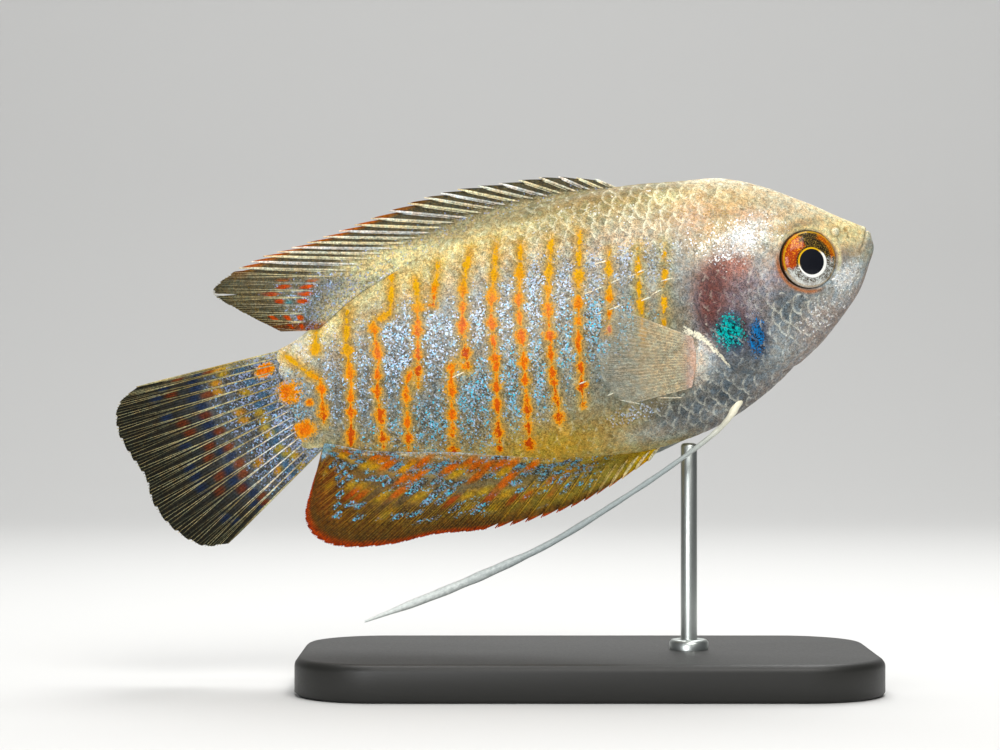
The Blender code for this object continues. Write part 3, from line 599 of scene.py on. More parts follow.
def body_paint(s, h, left):
    """Ground colour, marks and glow at places of the body.

    marks holds bar, yellow share, dark pepper and pale stroke; glow holds glitter, its blueness, gold
    flecks and the paleness of the scales' rims.
    """
    s = s + np.where(left, 0.35 * np.sin(h * 0.55 + 1.2), 0)
    colour, bar, yellow, near = paint_bars(s, h, ground_paint(s, h))
    colour = paint_face(s, h, colour)
    distance, along, _, length = along_line(s, h, GILL_STREAK)
    streak = np.clip(1 - distance / (1.9 - 1.3 * along / length), 0, 1)
    amount, blueness = glitter_at(s, h, near)
    marks = np.stack([bar, yellow, patches(s, h, PEPPER), streak], -1)
    glow = np.stack([amount, blueness, patches(s, h, GOLD_FLECKS), patches(s, h, PALE_RIMS)], -1)
    return to_light(colour), marks, glow


def dress(made, ground, marks, glow):
    """Hangs the three paint fields on a mesh."""
    set_field(made, "ground", ground)
    set_field(made, "marks", marks)
    set_field(made, "glow", glow)


print("glitter fields:", len(GLITTER))

# %% [markdown]
# Shader maths reads best as plain sums. This small class wraps one output of a node, so that adding or
# multiplying two of them puts the right maths node in the tree; every other kind of node comes through
# one method.

# %% Sums in a shader
class Wire:
    """One value in a tree: numbers and wires can be added to it, taken away and multiplied."""

    def __init__(self, tree, socket):
        self.tree, self.socket = tree, socket

    def maths(self, operation, first, second=0.0):
        return node(self.tree, "ShaderNodeMath", {"operation": operation}, {0: first, 1: second})

    def __add__(self, other):
        return self.maths("ADD", self, other)

    def __radd__(self, other):
        return self.maths("ADD", other, self)

    def __sub__(self, other):
        return self.maths("SUBTRACT", self, other)

    def __rsub__(self, other):
        return self.maths("SUBTRACT", other, self)

    def __mul__(self, other):
        return self.maths("MULTIPLY", self, other)

    def __rmul__(self, other):
        return self.maths("MULTIPLY", other, self)

    def at_least(self, other):
        return self.maths("MAXIMUM", self, other)

    def ramp(self, low, high, start=0.0, end=1.0):
        """A soft step from low to high."""
        return node(self.tree, "ShaderNodeMapRange", {"interpolation_type": "SMOOTHSTEP"},
                    {0: self, 1: low, 2: high, 3: start, 4: end})


def node(tree, kind, settings=None, inputs=None, output=0):
    """Adds a node with its settings and inputs, and wraps one of its outputs."""
    made = tree.nodes.new(kind)
    for key, value in (settings or {}).items():
        setattr(made, key, value)
    for key, value in (inputs or {}).items():
        if isinstance(value, Wire):
            tree.links.new(value.socket, made.inputs[key])
        else:
            made.inputs[key].default_value = value
    return Wire(tree, made.outputs[output])


def attribute(tree, name):
    """A painted field as a colour."""
    return node(tree, "ShaderNodeAttribute", {"attribute_name": name})


def parts_of(tree, colour):
    """The three parts of a colour, each on its own."""
    first = node(tree, "ShaderNodeSeparateColor", None, {0: colour})
    return [Wire(tree, socket) for socket in first.socket.node.outputs]


def attribute_parts(tree, name):
    """A painted field as its four numbers."""
    colour = attribute(tree, name)
    return parts_of(tree, colour) + [Wire(tree, colour.socket.node.outputs["Alpha"])]


def attribute_number(tree, name):
    """A painted field that holds one number."""
    return parts_of(tree, attribute(tree, name))[0]


def mixed(tree, share, first, second):
    """A colour between two others."""
    return node(tree, "ShaderNodeMix", {"data_type": "RGBA"}, {0: share, 6: first, 7: second}, 2)


def glazed(tree, colour, *coats):
    """A colour under coats, each a mask and the colour that it lets through."""
    for share, coat in coats:
        colour = mixed(tree, share, colour, coat)
    return colour


def scaled(tree, colour, factor):
    """A colour or place times a number."""
    return node(tree, "ShaderNodeVectorMath", {"operation": "SCALE"}, {0: colour, "Scale": factor})


def times(tree, colour, other):
    """Two colours multiplied, as one glaze over the other."""
    return node(tree, "ShaderNodeVectorMath", {"operation": "MULTIPLY"}, {0: colour, 1: other})


def tint(name, strength=1.0):
    """A named paint as a shader colour."""
    return (*[float(x) * strength for x in to_light(paint(name))], 1.0)


def new_material(name):
    """An empty material: its tree, its main shader, and places on the piece in millimetres."""
    made = bpy.data.materials.new(name)
    made.use_nodes = True
    tree = made.node_tree
    place = scaled(tree, node(tree, "ShaderNodeTexCoord", output=3), 1000.0)
    return made, tree, tree.nodes["Principled BSDF"], place


def feed(tree, shader, **inputs):
    """Sets or links the main shader's inputs; an underscore stands for a space."""
    for key, value in inputs.items():
        socket = shader.inputs[key.replace("_", " ")]
        if isinstance(value, Wire):
            tree.links.new(value.socket, socket)
        else:
            socket.default_value = value


def noise(tree, place, size, detail=3.0, rough=0.55, curl=0.0):
    """Soft noise with features about that size, in millimetres, curled like grain if asked."""
    return node(tree, "ShaderNodeTexNoise", None, {"Vector": place, "Scale": 1 / size, "Detail": detail,
                                                   "Roughness": rough, "Distortion": curl})


def bump(tree, strength, depth, height):
    """Fine relief for the shader's Normal, its depth in metres."""
    return node(tree, "ShaderNodeBump", None, {"Strength": strength, "Distance": depth, "Height": height})


print("gold as light:", [round(x, 3) for x in tint("gold")])

# %% [markdown]
# The skin's look comes in layers. Two of them need a recipe of their own: the bars, red in their hearts
# and yellow at their fringe, and the mirror cells of the glitter, which run from white through pale blue
# to jade. Each recipe takes the painted numbers and gives a colour.

# %% Recipes for the bars and the mirror cells
def lay_bars(tree, colour, bar, yellow, fine, drift):
    """A colour with the bars over it, and a mask of their hearts."""
    ragged = bar + (fine - 0.5) * 1.4 + (drift - 0.5) * 0.7
    heart = glazed(tree, tint("ember"), (yellow.ramp(0.15, 0.5), tint("orange")),
                   ((fine + yellow * 0.5 - 0.25).ramp(0.55, 0.66) * 0.6, tint("amber")),
                   (yellow.ramp(0.68, 0.9) * 0.85, tint("gold", 1.1)))
    fringe = mixed(tree, yellow.ramp(0.6, 0.95), tint("amber"), tint("yellow"))
    hot = mixed(tree, ragged.ramp(0.7, 0.84), fringe, heart)
    halo = mixed(tree, ragged.ramp(0.52, 0.66), tint("haze"), tint("amber"))
    core = ragged.ramp(0.6, 0.7)
    return glazed(tree, colour, (ragged.ramp(0.28, 0.6) * 0.85, halo), (core * 0.95, hot)), core


def mirror_colour(tree, blueness, hue, shine, pale):
    """The colour of a lit cell, from its field's blueness and two random numbers of its own."""
    mirror = glazed(tree, tint("white"), ((blueness + hue * 0.3).ramp(0.15, 0.4), tint(pale)),
                    ((blueness * 1.3 - 0.8 + hue).ramp(0.25, 0.75), tint("sky")),
                    ((blueness + hue * 0.5).ramp(1.0, 1.25), tint("cyan", 1.1)),
                    (blueness.ramp(0.84, 0.88), tint("azure")), (blueness.ramp(0.92, 0.97), tint("jade")))
    return scaled(tree, mirror, 0.6 + 0.6 * shine - blueness.ramp(0.1, 0.4, 0.0, 0.14))


def dress_scales(tree, colour, net, drift, fine):
    """Scales differ in tone, are darker inside and pale at the rim; also gives edge and tone."""
    edge, tone = attribute_number(tree, "edge"), attribute_number(tree, "tone")
    colour = scaled(tree, colour, 0.88 + 0.24 * tone)
    colour = mixed(tree, edge.ramp(0.12, 0.5) * net * 0.5, colour, scaled(tree, colour, 0.5))
    rim = edge.ramp(0.28, 0.06) * (net + (drift - 0.5) * 2.4).ramp(0.15, 0.95)
    pale_rim = mixed(tree, 0.6, scaled(tree, colour, 1.7), tint("cream"))
    return mixed(tree, rim * (0.25 + 0.9 * fine), colour, pale_rim), edge, tone


print("jade as light:", [round(x, 2) for x in tint("jade")])

# %% [markdown]
# The whole recipe: ground paint, mottling and veins, warm and cold glazes, dark pepper and gold flecks,
# the bars, and over all of it the glitter. Cells of about an eighth of a millimetre make the sparkle; a
# random number for each decides if it's lit. The fins use the same recipe with less shine and a painted
# clearness.

# %% Materials of the body and the fins
CELLS_PER_MM = 7.5


def coat_material(name, on_scales=False, on_fins=False, sparkle=1.0, gloss=0.09, pale="lilac"):
    """The painted surface of skin, scales and fins, read from the fields that the painter hung on them."""
    made, tree, shader, place = new_material(name)
    colour = attribute(tree, "ground")
    bar, yellow, pepper, stroke = attribute_parts(tree, "marks")
    glitter, blueness, gold, net = attribute_parts(tree, "glow")
    broad = noise(tree, place, 1.6, 4.0)
    drift = noise(tree, place, 0.62, 3.0)
    fine = noise(tree, place, 0.27, 4.0, 0.65, 1.1)
    specks = noise(tree, place, 0.11, 2.0)
    worms = noise(tree, place, 0.42, 1.5, 0.5, 1.6)
    vein = node(tree, "ShaderNodeMath", {"operation": "ABSOLUTE"}, {0: worms - 0.5}).ramp(0.016, 0.0)
    colour = scaled(tree, colour, (0.6 * broad + 2.8 * fine - 0.76 + 0.3 * vein).at_least(0.2))
    cold = (drift * 0.6 + specks * 0.4).ramp(0.4, 0.6)
    colour = times(tree, colour, mixed(tree, cold, (1.1, 0.96, 0.86, 1), (0.9, 1.01, 1.12, 1)))
    if on_scales:
        colour, edge, tone = dress_scales(tree, colour, net, drift, fine)
        glitter = glitter * (0.6 + 0.7 * tone) * edge.ramp(0.0, 0.3, 0.6, 1.0)
    colour = glazed(tree, colour, (specks.ramp(0.52, 0.62) * pepper * 0.8, tint("soot")),
                    (specks.ramp(0.58, 0.64) * gold * 0.8, tint("gold", 1.1)))
    colour, core = lay_bars(tree, colour, bar, yellow, fine, drift)
    cells = node(tree, "ShaderNodeTexVoronoi", None, {"Vector": place, "Scale": CELLS_PER_MM}, 1)
    chance, shine, hue = parts_of(tree, cells)
    shown = glitter * (1.0 - core * 0.9)
    clump = noise(tree, place, 0.8, 2.0) - 0.5
    lit = (chance + shown * 0.6 - 1.05 + clump * 1.5 * shown).ramp(-0.04, 0.06)
    gap = (0.33 - chance - clump * 0.8).ramp(-0.02, 0.06) * blueness.ramp(0.02, 0.3, 0.4, 1.0)
    streak = (stroke + (fine - 0.5) * 0.7).ramp(0.78, 0.92)
    colour = glazed(tree, colour, (gap * (0.3 + 0.55 * shown), scaled(tree, colour, 0.2)),
                    (lit * (0.6 + 0.4 * shine) * sparkle, mirror_colour(tree, blueness, hue, shine, pale)),
                    (streak * 0.85, scaled(tree, tint("cream")[:3], 0.6 + 1.0 * fine)))
    feed(tree, shader, Base_Color=colour, Roughness=0.42 - 0.16 * lit + 0.1 * fine, Metallic=lit * 0.3,
         Normal=bump(tree, 0.35, 0.00006, shine * lit + fine * 0.8 + specks * 0.3),
         Coat_Weight=gloss, Coat_Roughness=0.14, IOR=1.1)
    if on_fins:
        feed(tree, shader, Alpha=attribute_number(tree, "clear"))
    return made


skin_look = coat_material("skin_paint")
scale_look = coat_material("scale_paint", on_scales=True)
fin_look = coat_material("fin_paint", on_fins=True, sparkle=0.8, gloss=0.02, pale="iris")
print("materials:", [m.name for m in (skin_look, scale_look, fin_look)])

# %% [markdown]
# Under the scales a fish has one unbroken skin, from its lips to the root of its tail. It stands for the
# three flesh solids, head, trunk and tail stem, and lies inside them by the scales' depth. It is made of
# rings, close together on the head where the relief is fine, with equal steps from the back's ridge to
# the belly's keel, so that no face is stretched.

# %% The skin
AROUND = 256
HALF = AROUND // 2
STEPS = [(0, 0.055), (2.4, 0.06), (4.0, 0.1), (20.0, 0.1), (23.0, 0.3), (60.0, 0.36)]


def run_round(s, turns):
    """The length run along the ring at station s, from the first of some turns to each of them."""
    y, h = half_width(s) * np.cos(turns), half_depth(s, turns > 0) * np.sin(turns)
    return np.concatenate([[0], np.cumsum(np.hypot(np.diff(y), np.diff(h)))])


def ring_turns(s, count):
    """Turns from ridge to keel that part a ring at station s into equal lengths."""
    dense = np.linspace(math.pi / 2, -math.pi / 2, 500)
    run = run_round(s, dense)
    return np.interp(np.linspace(0, run[-1], count + 1), run, dense)


def skin_stations():
    """Stations whose steps along the outline grow from the snout back."""
    dense = np.linspace(math.sqrt(SKIN_START), math.sqrt(SKIN_END), 6000) ** 2
    outline = np.hypot(np.diff(dense), np.diff(back(dense) - belly(dense)) / 2)
    wanted = np.interp(dense[1:], *np.array(STEPS).T)
    count = np.concatenate([[0], np.cumsum(outline / wanted)])
    return np.interp(np.linspace(0, count[-1], int(count[-1])), count, dense)


def make_skin():
    """The closed skin, with its paint and its unwrap."""
    stations = skin_stations()
    turns = np.array([ring_turns(s, HALF) for s in stations])
    points, _ = surface(stations[:, None] + 0 * turns, turns)
    right = points * np.array([1, -1, 1])
    rings = np.concatenate([right, points[:, HALF - 1:0:-1]], 1)
    rows = len(stations)
    tips = np.stack([rings[0].mean(0), rings[-1].mean(0)])
    tips[0, 0] -= 0.02
    places = np.concatenate([rings.reshape(-1, 3), tips])
    i, j = np.meshgrid(np.arange(rows), np.arange(AROUND + 1), indexing="ij")
    u = 0.02 + 0.96 * stations[i] / SKIN_END
    v_right, v_left = 0.49 - 0.47 * j / HALF, 0.51 + 0.47 * (j - HALF) / HALF
    walls = grid_faces(rows, AROUND, True)
    strip = np.tile(np.arange(AROUND), rows - 1)
    row = np.repeat(np.arange(rows - 1), AROUND)
    corner_rows = np.stack([row, row, row + 1, row + 1], -1)
    corner_columns = np.stack([strip, strip + 1, strip + 1, strip], -1)
    on_right = (strip < HALF)[:, None]
    v = np.where(on_right, v_right[corner_rows, corner_columns], v_left[corner_rows, corner_columns])
    wall_uv = np.stack([u[corner_rows, corner_columns], v], -1)
    front = fan_faces(np.arange(AROUND), rows * AROUND)
    rear = fan_faces(np.arange(AROUND)[::-1] + (rows - 1) * AROUND, rows * AROUND + 1)
    fan_uv = [np.full((AROUND, 3, 2), at) for at in (0.012, 0.988)]
    made = make_mesh("skin", to_part(places), [walls, front[:, ::-1], rear[:, ::-1]], [wall_uv, *fan_uv])
    dress(made, *body_paint(places[:, 0], places[:, 2], places[:, 1] > 0))
    made.data.materials.append(skin_look)
    return made


skin = make_skin()
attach(skin, "root")
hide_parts("head", "trunk", "tail_stem")
report(skin)

# %% [markdown]
# Scales grow in slanting rows, each one over the two behind it, held at its front and free at its tip.
# A scale maker would lay them out flat, on a pattern of the flank rolled out, and then wrap the sheet
# round the body. That is what happens here: a Geometry Nodes tree sets one small scale on every point
# of a flat pattern, and each point of the result is then carried to the skin at the same place.

# %% The flat pattern of the flank
PATTERN_STEP_S, PATTERN_STEP_V = 0.15, 0.1
PATTERN_S = np.arange(3.0, 61.5, PATTERN_STEP_S)
PATTERN_V = np.arange(-22.0, 22.05, PATTERN_STEP_V)
SCALE_PITCH, ROW_PITCH = 1.36, 1.17
SCALE_LENGTH, SCALE_WIDTH, SCALE_TILT, SCALE_THICK, SCALE_DOME = 2.5, 2.75, 0.1, 0.02, 0.03
SCALE_JITTER = 0.15
FIRST_SCALE, BARE_EYE = 5.0, 4.0


def roll_out():
    """For a grid of stations and distances from the widest line: the turn round the body there.

    Also gives the distances of the ridge and of the keel at each station.
    """
    dense = np.linspace(-2.7, 2.7, 1201)
    table, top, bottom = [], [], []
    for s in np.minimum(PATTERN_S, SKIN_END):
        run = run_round(s, dense)
        run -= np.interp(0, dense, run)
        table.append(np.interp(PATTERN_V, run, dense))
        top.append(np.interp(math.pi / 2, dense, run))
        bottom.append(np.interp(-math.pi / 2, dense, run))
    return np.array(table), np.array(top), np.array(bottom)


turn_table, ridge_at, keel_at = roll_out()


def turn_for(s, v):
    """The turn round the body at station s and distance v from the widest line."""
    a = np.clip((s - PATTERN_S[0]) / PATTERN_STEP_S, 0, len(PATTERN_S) - 1.001)
    b = np.clip((v - PATTERN_V[0]) / PATTERN_STEP_V, 0, len(PATTERN_V) - 1.001)
    i, j = a.astype(int), b.astype(int)
    f, g = a - i, b - j
    near = turn_table[i, j] * (1 - g) + turn_table[i, j + 1] * g
    far = turn_table[i + 1, j] * (1 - g) + turn_table[i + 1, j + 1] * g
    return near * (1 - f) + far * f


def closeness(s):
    """How much smaller the scales are at station s than on the deepest part of the body."""
    depth = np.interp(s, PATTERN_S, ridge_at - keel_at)
    return (depth / 30.0) ** 0.55


def scale_places(left):
    """Roots of the scales on the flat pattern: station, distance from the widest line, and size."""
    found = []
    overlap = -0.25 if left else 0.25
    s, k = FIRST_SCALE, 0
    while s < SKIN_END - 0.2:
        size = float(closeness(s))
        top, bottom = np.interp(s, PATTERN_S, ridge_at), np.interp(s, PATTERN_S, keel_at)
        for row in range(k % 2 - 20, 21, 2):
            v = row * ROW_PITCH * size
            if bottom - overlap <= v <= top + overlap:
                found.append((s, v, size, row))
        s += SCALE_PITCH / 2 * size
        k += 1
    found = np.array(found)
    found[:, :2] += SCALE_JITTER * np.random.default_rng(7).uniform(-1, 1, (len(found), 2))
    place, _ = surface(found[:, 0], turn_for(found[:, 0], found[:, 1]))
    from_eye = np.hypot(place[:, 0] - EYE_S, place[:, 2] - EYE_H)
    bare = (from_eye < BARE_EYE) | ((place[:, 0] < 7.4) & (place[:, 2] > 0.5))
    return found[~bare]


print("scales on the left:", len(scale_places(True)), "and on the right:", len(scale_places(False)))

# %% [markdown]
# One scale is a thin shell: round at its free tip, a little domed, thinner than a hair at the rim. It has
# a few dozen faces, because there are hundreds of it. The tree has the pattern's points, the scale and a
# seed as inputs, turns each scale to its row, varies its size a little, and gives plain mesh at the end.

# %% One scale, and the tree that sets it out
RIM_TURNS = [0, 20, 42, 64, 90, 128, 180, -128, -90, -64, -42, -20]
SHELL_RINGS = [1.0, 0.82, 0.55, 0.27]
SCALE_SINK = 0.03


def make_scale():
    """One scale about the origin, its tip towards +x, of unit half length and half width."""
    turns = np.radians(RIM_TURNS)
    rim = np.stack([np.cos(turns) * (1 - 0.06 * np.sin(turns) ** 2), np.sin(turns)], -1)
    points = []
    for r in SHELL_RINGS:
        ring = rim * r
        rise = SCALE_TILT * (ring[:, 0] + 1) / 2 - SCALE_SINK + SCALE_DOME * (1 - r * r)
        points += [(x, y, z) for (x, y), z in zip(ring, rise)]
    points.append((0, 0, SCALE_TILT / 2 - SCALE_SINK + SCALE_DOME))
    points += [(x, y, SCALE_TILT * (x + 1) / 2 - SCALE_SINK - SCALE_THICK) for x, y in rim]
    count = len(rim)
    top = grid_faces(len(SHELL_RINGS), count, True)
    crown = fan_faces(np.arange(count) + (len(SHELL_RINGS) - 1) * count, len(SHELL_RINGS) * count)
    under = np.arange(count) + len(SHELL_RINGS) * count + 1
    over = np.arange(count)
    side = np.stack([over, under, np.roll(under, -1), np.roll(over, -1)], -1)
    made = make_mesh("one_scale", np.array(points), [top, crown, side, under[::-1][None, :]])
    made.data.set_sharp_from_angle(angle=math.radians(50))
    inside = np.concatenate([np.repeat(1 - np.array(SHELL_RINGS), count), [1.0], np.zeros(count)])
    set_field(made, "edge", inside)
    return made


def new_tree(name, source, inputs, result):
    """An empty Geometry Nodes tree with named inputs, and a wire from each of them."""
    tree = bpy.data.node_groups.new(name, "GeometryNodeTree")
    for label, kind in ((source, "Geometry"), *inputs):
        tree.interface.new_socket(label, in_out="INPUT", socket_type="NodeSocket" + kind)
    tree.interface.new_socket(result, in_out="OUTPUT", socket_type="NodeSocketGeometry")
    outputs = tree.nodes.new("NodeGroupInput").outputs
    return tree, [Wire(tree, outputs[label]) for label in (source, *[label for label, _ in inputs])]


def finish_tree(tree, shape, paint):
    """Ends a tree with plain mesh in its material."""
    real = node(tree, "GeometryNodeRealizeInstances", None, {0: shape})
    painted = node(tree, "GeometryNodeSetMaterial", None, {0: real, "Material": paint})
    tree.links.new(painted.socket, tree.nodes.new("NodeGroupOutput").inputs[0])
    return tree


def named(tree, name, kind="FLOAT"):
    """A field that hangs on the source's points."""
    return node(tree, "GeometryNodeInputNamedAttribute", {"data_type": kind}, {"Name": name})


def scale_tree():
    """The tree: points with turn and size in, a coat of plain mesh out."""
    inputs = (("Scale", "Object"), ("Seed", "Int"), ("Variation", "Float"), ("Paint", "Material"))
    tree, (pattern, scale, seed, spread, paint) = new_tree("set_out_scales", "Pattern", inputs, "Coat")
    shape = node(tree, "GeometryNodeObjectInfo", None, {"Object": scale}, 4)
    vary = node(tree, "FunctionNodeRandomValue", {"data_type": "FLOAT"},
                {2: 1.0 - spread, 3: 1.0 + spread, "Seed": seed}, 1)
    whole = scaled(tree, named(tree, "size", "FLOAT_VECTOR"), vary)
    angles = node(tree, "ShaderNodeCombineXYZ", None, {2: named(tree, "turn")})
    placed = node(tree, "GeometryNodeInstanceOnPoints", None,
                  {"Points": pattern, "Instance": shape, "Rotation": angles, "Scale": whole})
    return finish_tree(tree, placed, paint)


def grow(name, source, tree, values):
    """Runs a Geometry Nodes tree on a source with named inputs, and keeps the result as plain mesh."""
    modifier = source.modifiers.new("tree", "NODES")
    modifier.node_group = tree
    for item in tree.interface.items_tree:
        if item.in_out == "INPUT" and item.name in values:
            modifier[item.identifier] = values[item.name]
    graph = bpy.context.evaluated_depsgraph_get()
    mesh = bpy.data.meshes.new_from_object(source.evaluated_get(graph))
    mesh.name = name
    source.modifiers.clear()
    bpy.data.objects.remove(source)
    return add_object(name, mesh)


one_scale = make_scale()
set_out_scales = scale_tree()
print("faces of one scale:", len(one_scale.data.polygons))

# %% [markdown]
# Wrapping the flat coat: a point's station and distance say where on the skin it goes, and its height in
# the flat coat is how far it stands out there. Scales stop short of the gill cover's free edge and the
# eye: points that would cross are tucked under the skin, as if the scale were trimmed.

# %% The two coats of scales
TUCK, TUCK_REACH, EYE_CLEAR = 0.5, 3.0, 3.5


def lay_flat(name, roots, seed):
    """The flat coat: a scale on each root, leaning as its row runs."""
    narrowing = closeness(roots[:, 0] + 0.5) - closeness(roots[:, 0] - 0.5)
    lean = np.arctan(roots[:, 3] * ROW_PITCH * narrowing)
    pattern = bpy.data.meshes.new(name + "_pattern")
    pattern.from_pydata([(s, v, 0) for s, v in roots[:, :2]], [], [])
    source = add_object(name + "_pattern", pattern)
    set_field(source, "turn", lean)
    size = roots[:, 2:3] * np.array([SCALE_LENGTH / 2, SCALE_WIDTH / 2, 1.0])
    set_field(source, "size", size, vector=True)
    return grow(name, source, set_out_scales,
                {"Scale": one_scale, "Seed": seed, "Variation": 0.05, "Paint": scale_look})


def wrap_round(spread, root):
    """Points of the flat coat carried to the skin, and tucked under it where they cross an edge."""
    s, v, rise = spread.T
    here, out = surface(s, turn_for(s, v))
    root_place, _ = surface(root[:, 0], turn_for(root[:, 0], root[:, 1]))
    beyond = behind_gills(here[:, 0], here[:, 2])
    root_beyond = behind_gills(root_place[:, 0], root_place[:, 2])
    crossed = np.where(root_beyond > 0, beyond < 0.1, beyond > -0.12) & (here[:, 2] < GILL_TOP - 1)
    crossed |= np.hypot(here[:, 0] - EYE_S, here[:, 2] - EYE_H) < EYE_CLEAR
    rise = np.where(crossed & (np.abs(root_beyond) < TUCK_REACH), -TUCK, rise)
    return here + out * rise[:, None]


def make_scales(name, left, seed):
    """One side's coat of scales, wrapped on the body, painted and unwrapped."""
    roots = scale_places(left)
    made = lay_flat(name, roots, seed)
    each = len(one_scale.data.vertices)
    spread, root = read_points(made), np.repeat(roots, each, 0)
    wrapped = wrap_round(spread, root) * np.array([1, 1 if left else -1, 1])
    made.data.vertices.foreach_set("co", to_part(wrapped).astype(np.float32).ravel())
    if not left:
        made.data.flip_normals()
    made.data.update()
    made.data.shade_smooth()
    dress(made, *body_paint(wrapped[:, 0], wrapped[:, 2], np.full(len(wrapped), left)))
    set_field(made, "tone", np.repeat(np.random.default_rng(seed).random(len(roots)), each))
    local = (spread[:, :2] - root[:, :2]) / SCALE_LENGTH
    home = np.stack([0.02 + 0.95 * root[:, 0] / SKIN_END, 0.5 + root[:, 1] / 46.0], -1)
    patch_uv = home + local * 0.003
    loops = np.zeros(len(made.data.loops), np.int32)
    made.data.loops.foreach_get("vertex_index", loops)
    layer = made.data.uv_layers.new(name="OFBake")
    layer.data.foreach_set("uv", patch_uv[loops].astype(np.float32).ravel())
    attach(made, "root")
    report(made)


make_scales("scales_right", False, 11)
make_scales("scales_left", True, 12)
bpy.data.objects.remove(one_scale)

# %% [markdown]
# A fin is a thin membrane held out by rays. Both come from the same two lines, the root and the margin:
# a place in the fin is a share u from the first ray to the last and a share v from root to margin. The
# membrane is a closed sheet, fleshy at its root and very thin beyond, hung short of the tip of each spine.

# %% Fins: how they are drawn
SHEET = 0.05
DORSAL_ROOT_S = (22.0, 54.6)
DORSAL_MARGIN = [(24.6, 13.3), (28.7, 14.7), (33.4, 15.4), (38.2, 16.0), (42.2, 16.0), (46.8, 15.5),
                 (50.8, 15.1), (54.8, 14.9), (58.3, 14.8), (61.3, 14.1), (63.6, 12.8), (61.6, 10.4),
                 (58.2, 7.3)]
ANAL_ROOT_S = (24.8, 57.0)
ANAL_MARGIN = [(27.0, -14.6), (31.3, -16.0), (35.4, -16.9), (40.1, -17.1), (44.6, -16.7), (49.1, -15.9),
               (53.5, -15.7), (58.0, -14.7), (60.3, -13.1), (60.8, -10.9), (59.5, -8.4), (58.3, -6.6)]
TAIL_MARGIN = [(73.5, 5.9), (75.8, 4.7), (76.6, 2.3), (76.0, -0.4), (75.1, -3.0), (75.0, -5.6),
               (73.7, -8.6), (71.4, -10.9), (68.9, -11.4)]
TAIL_ROOT_H = (5.4, -4.7)
PECTORAL_ROOT = [(19.9, -4.1), (20.0, -5.6), (20.4, -7.0), (21.2, -8.7)]
PECTORAL_MARGIN = [(26.4, 0.6), (28.3, -1.4), (29.3, -3.9), (29.3, -6.2), (27.6, -8.6)]
DORSAL_RAYS, ANAL_RAYS, TAIL_RAYS, PECTORAL_RAYS = 30, 34, 18, 24
DORSAL_SPINES, ANAL_SPINES = 22, 12
FIN_BEND, TAIL_WAVE, PECTORAL_FLARE = 0.4, 0.45, 3.0
ROOT_SINK = 0.75


def fin_place(root, margin, wave, u, v):
    """Body-frame points of a fin's middle at shares u and v."""
    start, end = root(u), margin(u)
    flat = start + (end - start) * v[..., None]
    return np.stack([flat[..., 0], wave(u, v), flat[..., 1]], -1)


def make_web(name, lines, rays, across, down, notch, flesh, look):
    """A fin's membrane, with the shares u and v of its points for the painter.

    notch tells how far the membrane falls short at a share u and a place between two rays; flesh is
    how much thicker it is at its root, and how far that reaches.
    """
    root, margin, wave = lines
    columns = (rays - 1) * across + 1
    u = np.linspace(0, 1, columns)
    between = (u * (rays - 1)) % 1.0
    short = 1 - notch(u, between)
    v = np.linspace(0, 1, down + 1)[:, None] * short[None, :]
    u_all = np.broadcast_to(u, v.shape)
    middle = fin_place(root, margin, wave, u_all, v)
    thick = SHEET + flesh[0] * mound(v, flesh[1])
    rim = np.minimum(np.linspace(0, 1, columns), np.linspace(1, 0, columns)) * columns
    thick = thick * np.minimum(1, 0.3 + rim)[None, :]
    faces_at = [middle + np.stack([0 * v, sign * thick / 2, 0 * v], -1) for sign in (-1, 1)]
    size = middle[..., 0].size
    near, far = grid_faces(down + 1, columns, False), grid_faces(down + 1, columns, False, size)[:, ::-1]
    index = np.arange(size).reshape(down + 1, columns)
    loop = np.concatenate([index[0, :-1], index[:-1, -1], index[-1, :0:-1], index[:0:-1, 0]])
    edge = np.stack([loop, np.roll(loop, -1), np.roll(loop, -1) + size, loop + size], -1)
    places = np.concatenate([f.reshape(-1, 3) for f in faces_at])
    made = make_mesh(name, to_part(places), [near, far, edge[:, ::-1]])
    made.data.materials.append(look)
    return made, np.tile(u_all.ravel(), 2), np.tile(v.ravel(), 2)


def out_wave(u, v):
    """The upright fins lean a little to the left at their margins."""
    return FIN_BEND * v * v


def dorsal_root(u):
    s = DORSAL_ROOT_S[0] + (DORSAL_ROOT_S[1] - DORSAL_ROOT_S[0]) * u
    return np.stack([s, back(s) - ROOT_SINK], -1)


def anal_root(u):
    s = ANAL_ROOT_S[0] + (ANAL_ROOT_S[1] - ANAL_ROOT_S[0]) * u
    return np.stack([s, belly(s) + ROOT_SINK], -1)


def tail_root(u):
    h = TAIL_ROOT_H[0] + (TAIL_ROOT_H[1] - TAIL_ROOT_H[0]) * u
    return np.stack([56.9 + 0 * u, h], -1)


def tail_wave(u, v):
    return TAIL_WAVE * v * np.sin(2 * math.pi * u)


pectoral_root, pectoral_margin = line_of(PECTORAL_ROOT), line_of(PECTORAL_MARGIN)


def flank(s, h):
    """Half width of the plain body at (s, h)."""
    middle = widest(s)
    reach = half_depth(s, h > middle)
    return half_width(s) * np.sqrt(np.maximum(1 - ((h - middle) / reach) ** 2, 0))


def pectoral_wave(side):
    def wave(u, v):
        root = pectoral_root(u)
        start = flank(root[..., 0], root[..., 1]) + 0.3
        return side * (start + PECTORAL_FLARE * v**1.4)
    return wave


print("rays:", DORSAL_RAYS, ANAL_RAYS, TAIL_RAYS, PECTORAL_RAYS)

# %% [markdown]
# The rays are tapered rods. In the soft parts each one splits in two and then in four on its way to the
# margin, which gives the fine combed look. Every ray is a line of points; one Geometry Nodes tree turns
# all lines into curves, sweeps a round section along them at each point's own radius, and closes the
# ends. The feelers are made by the same tree.

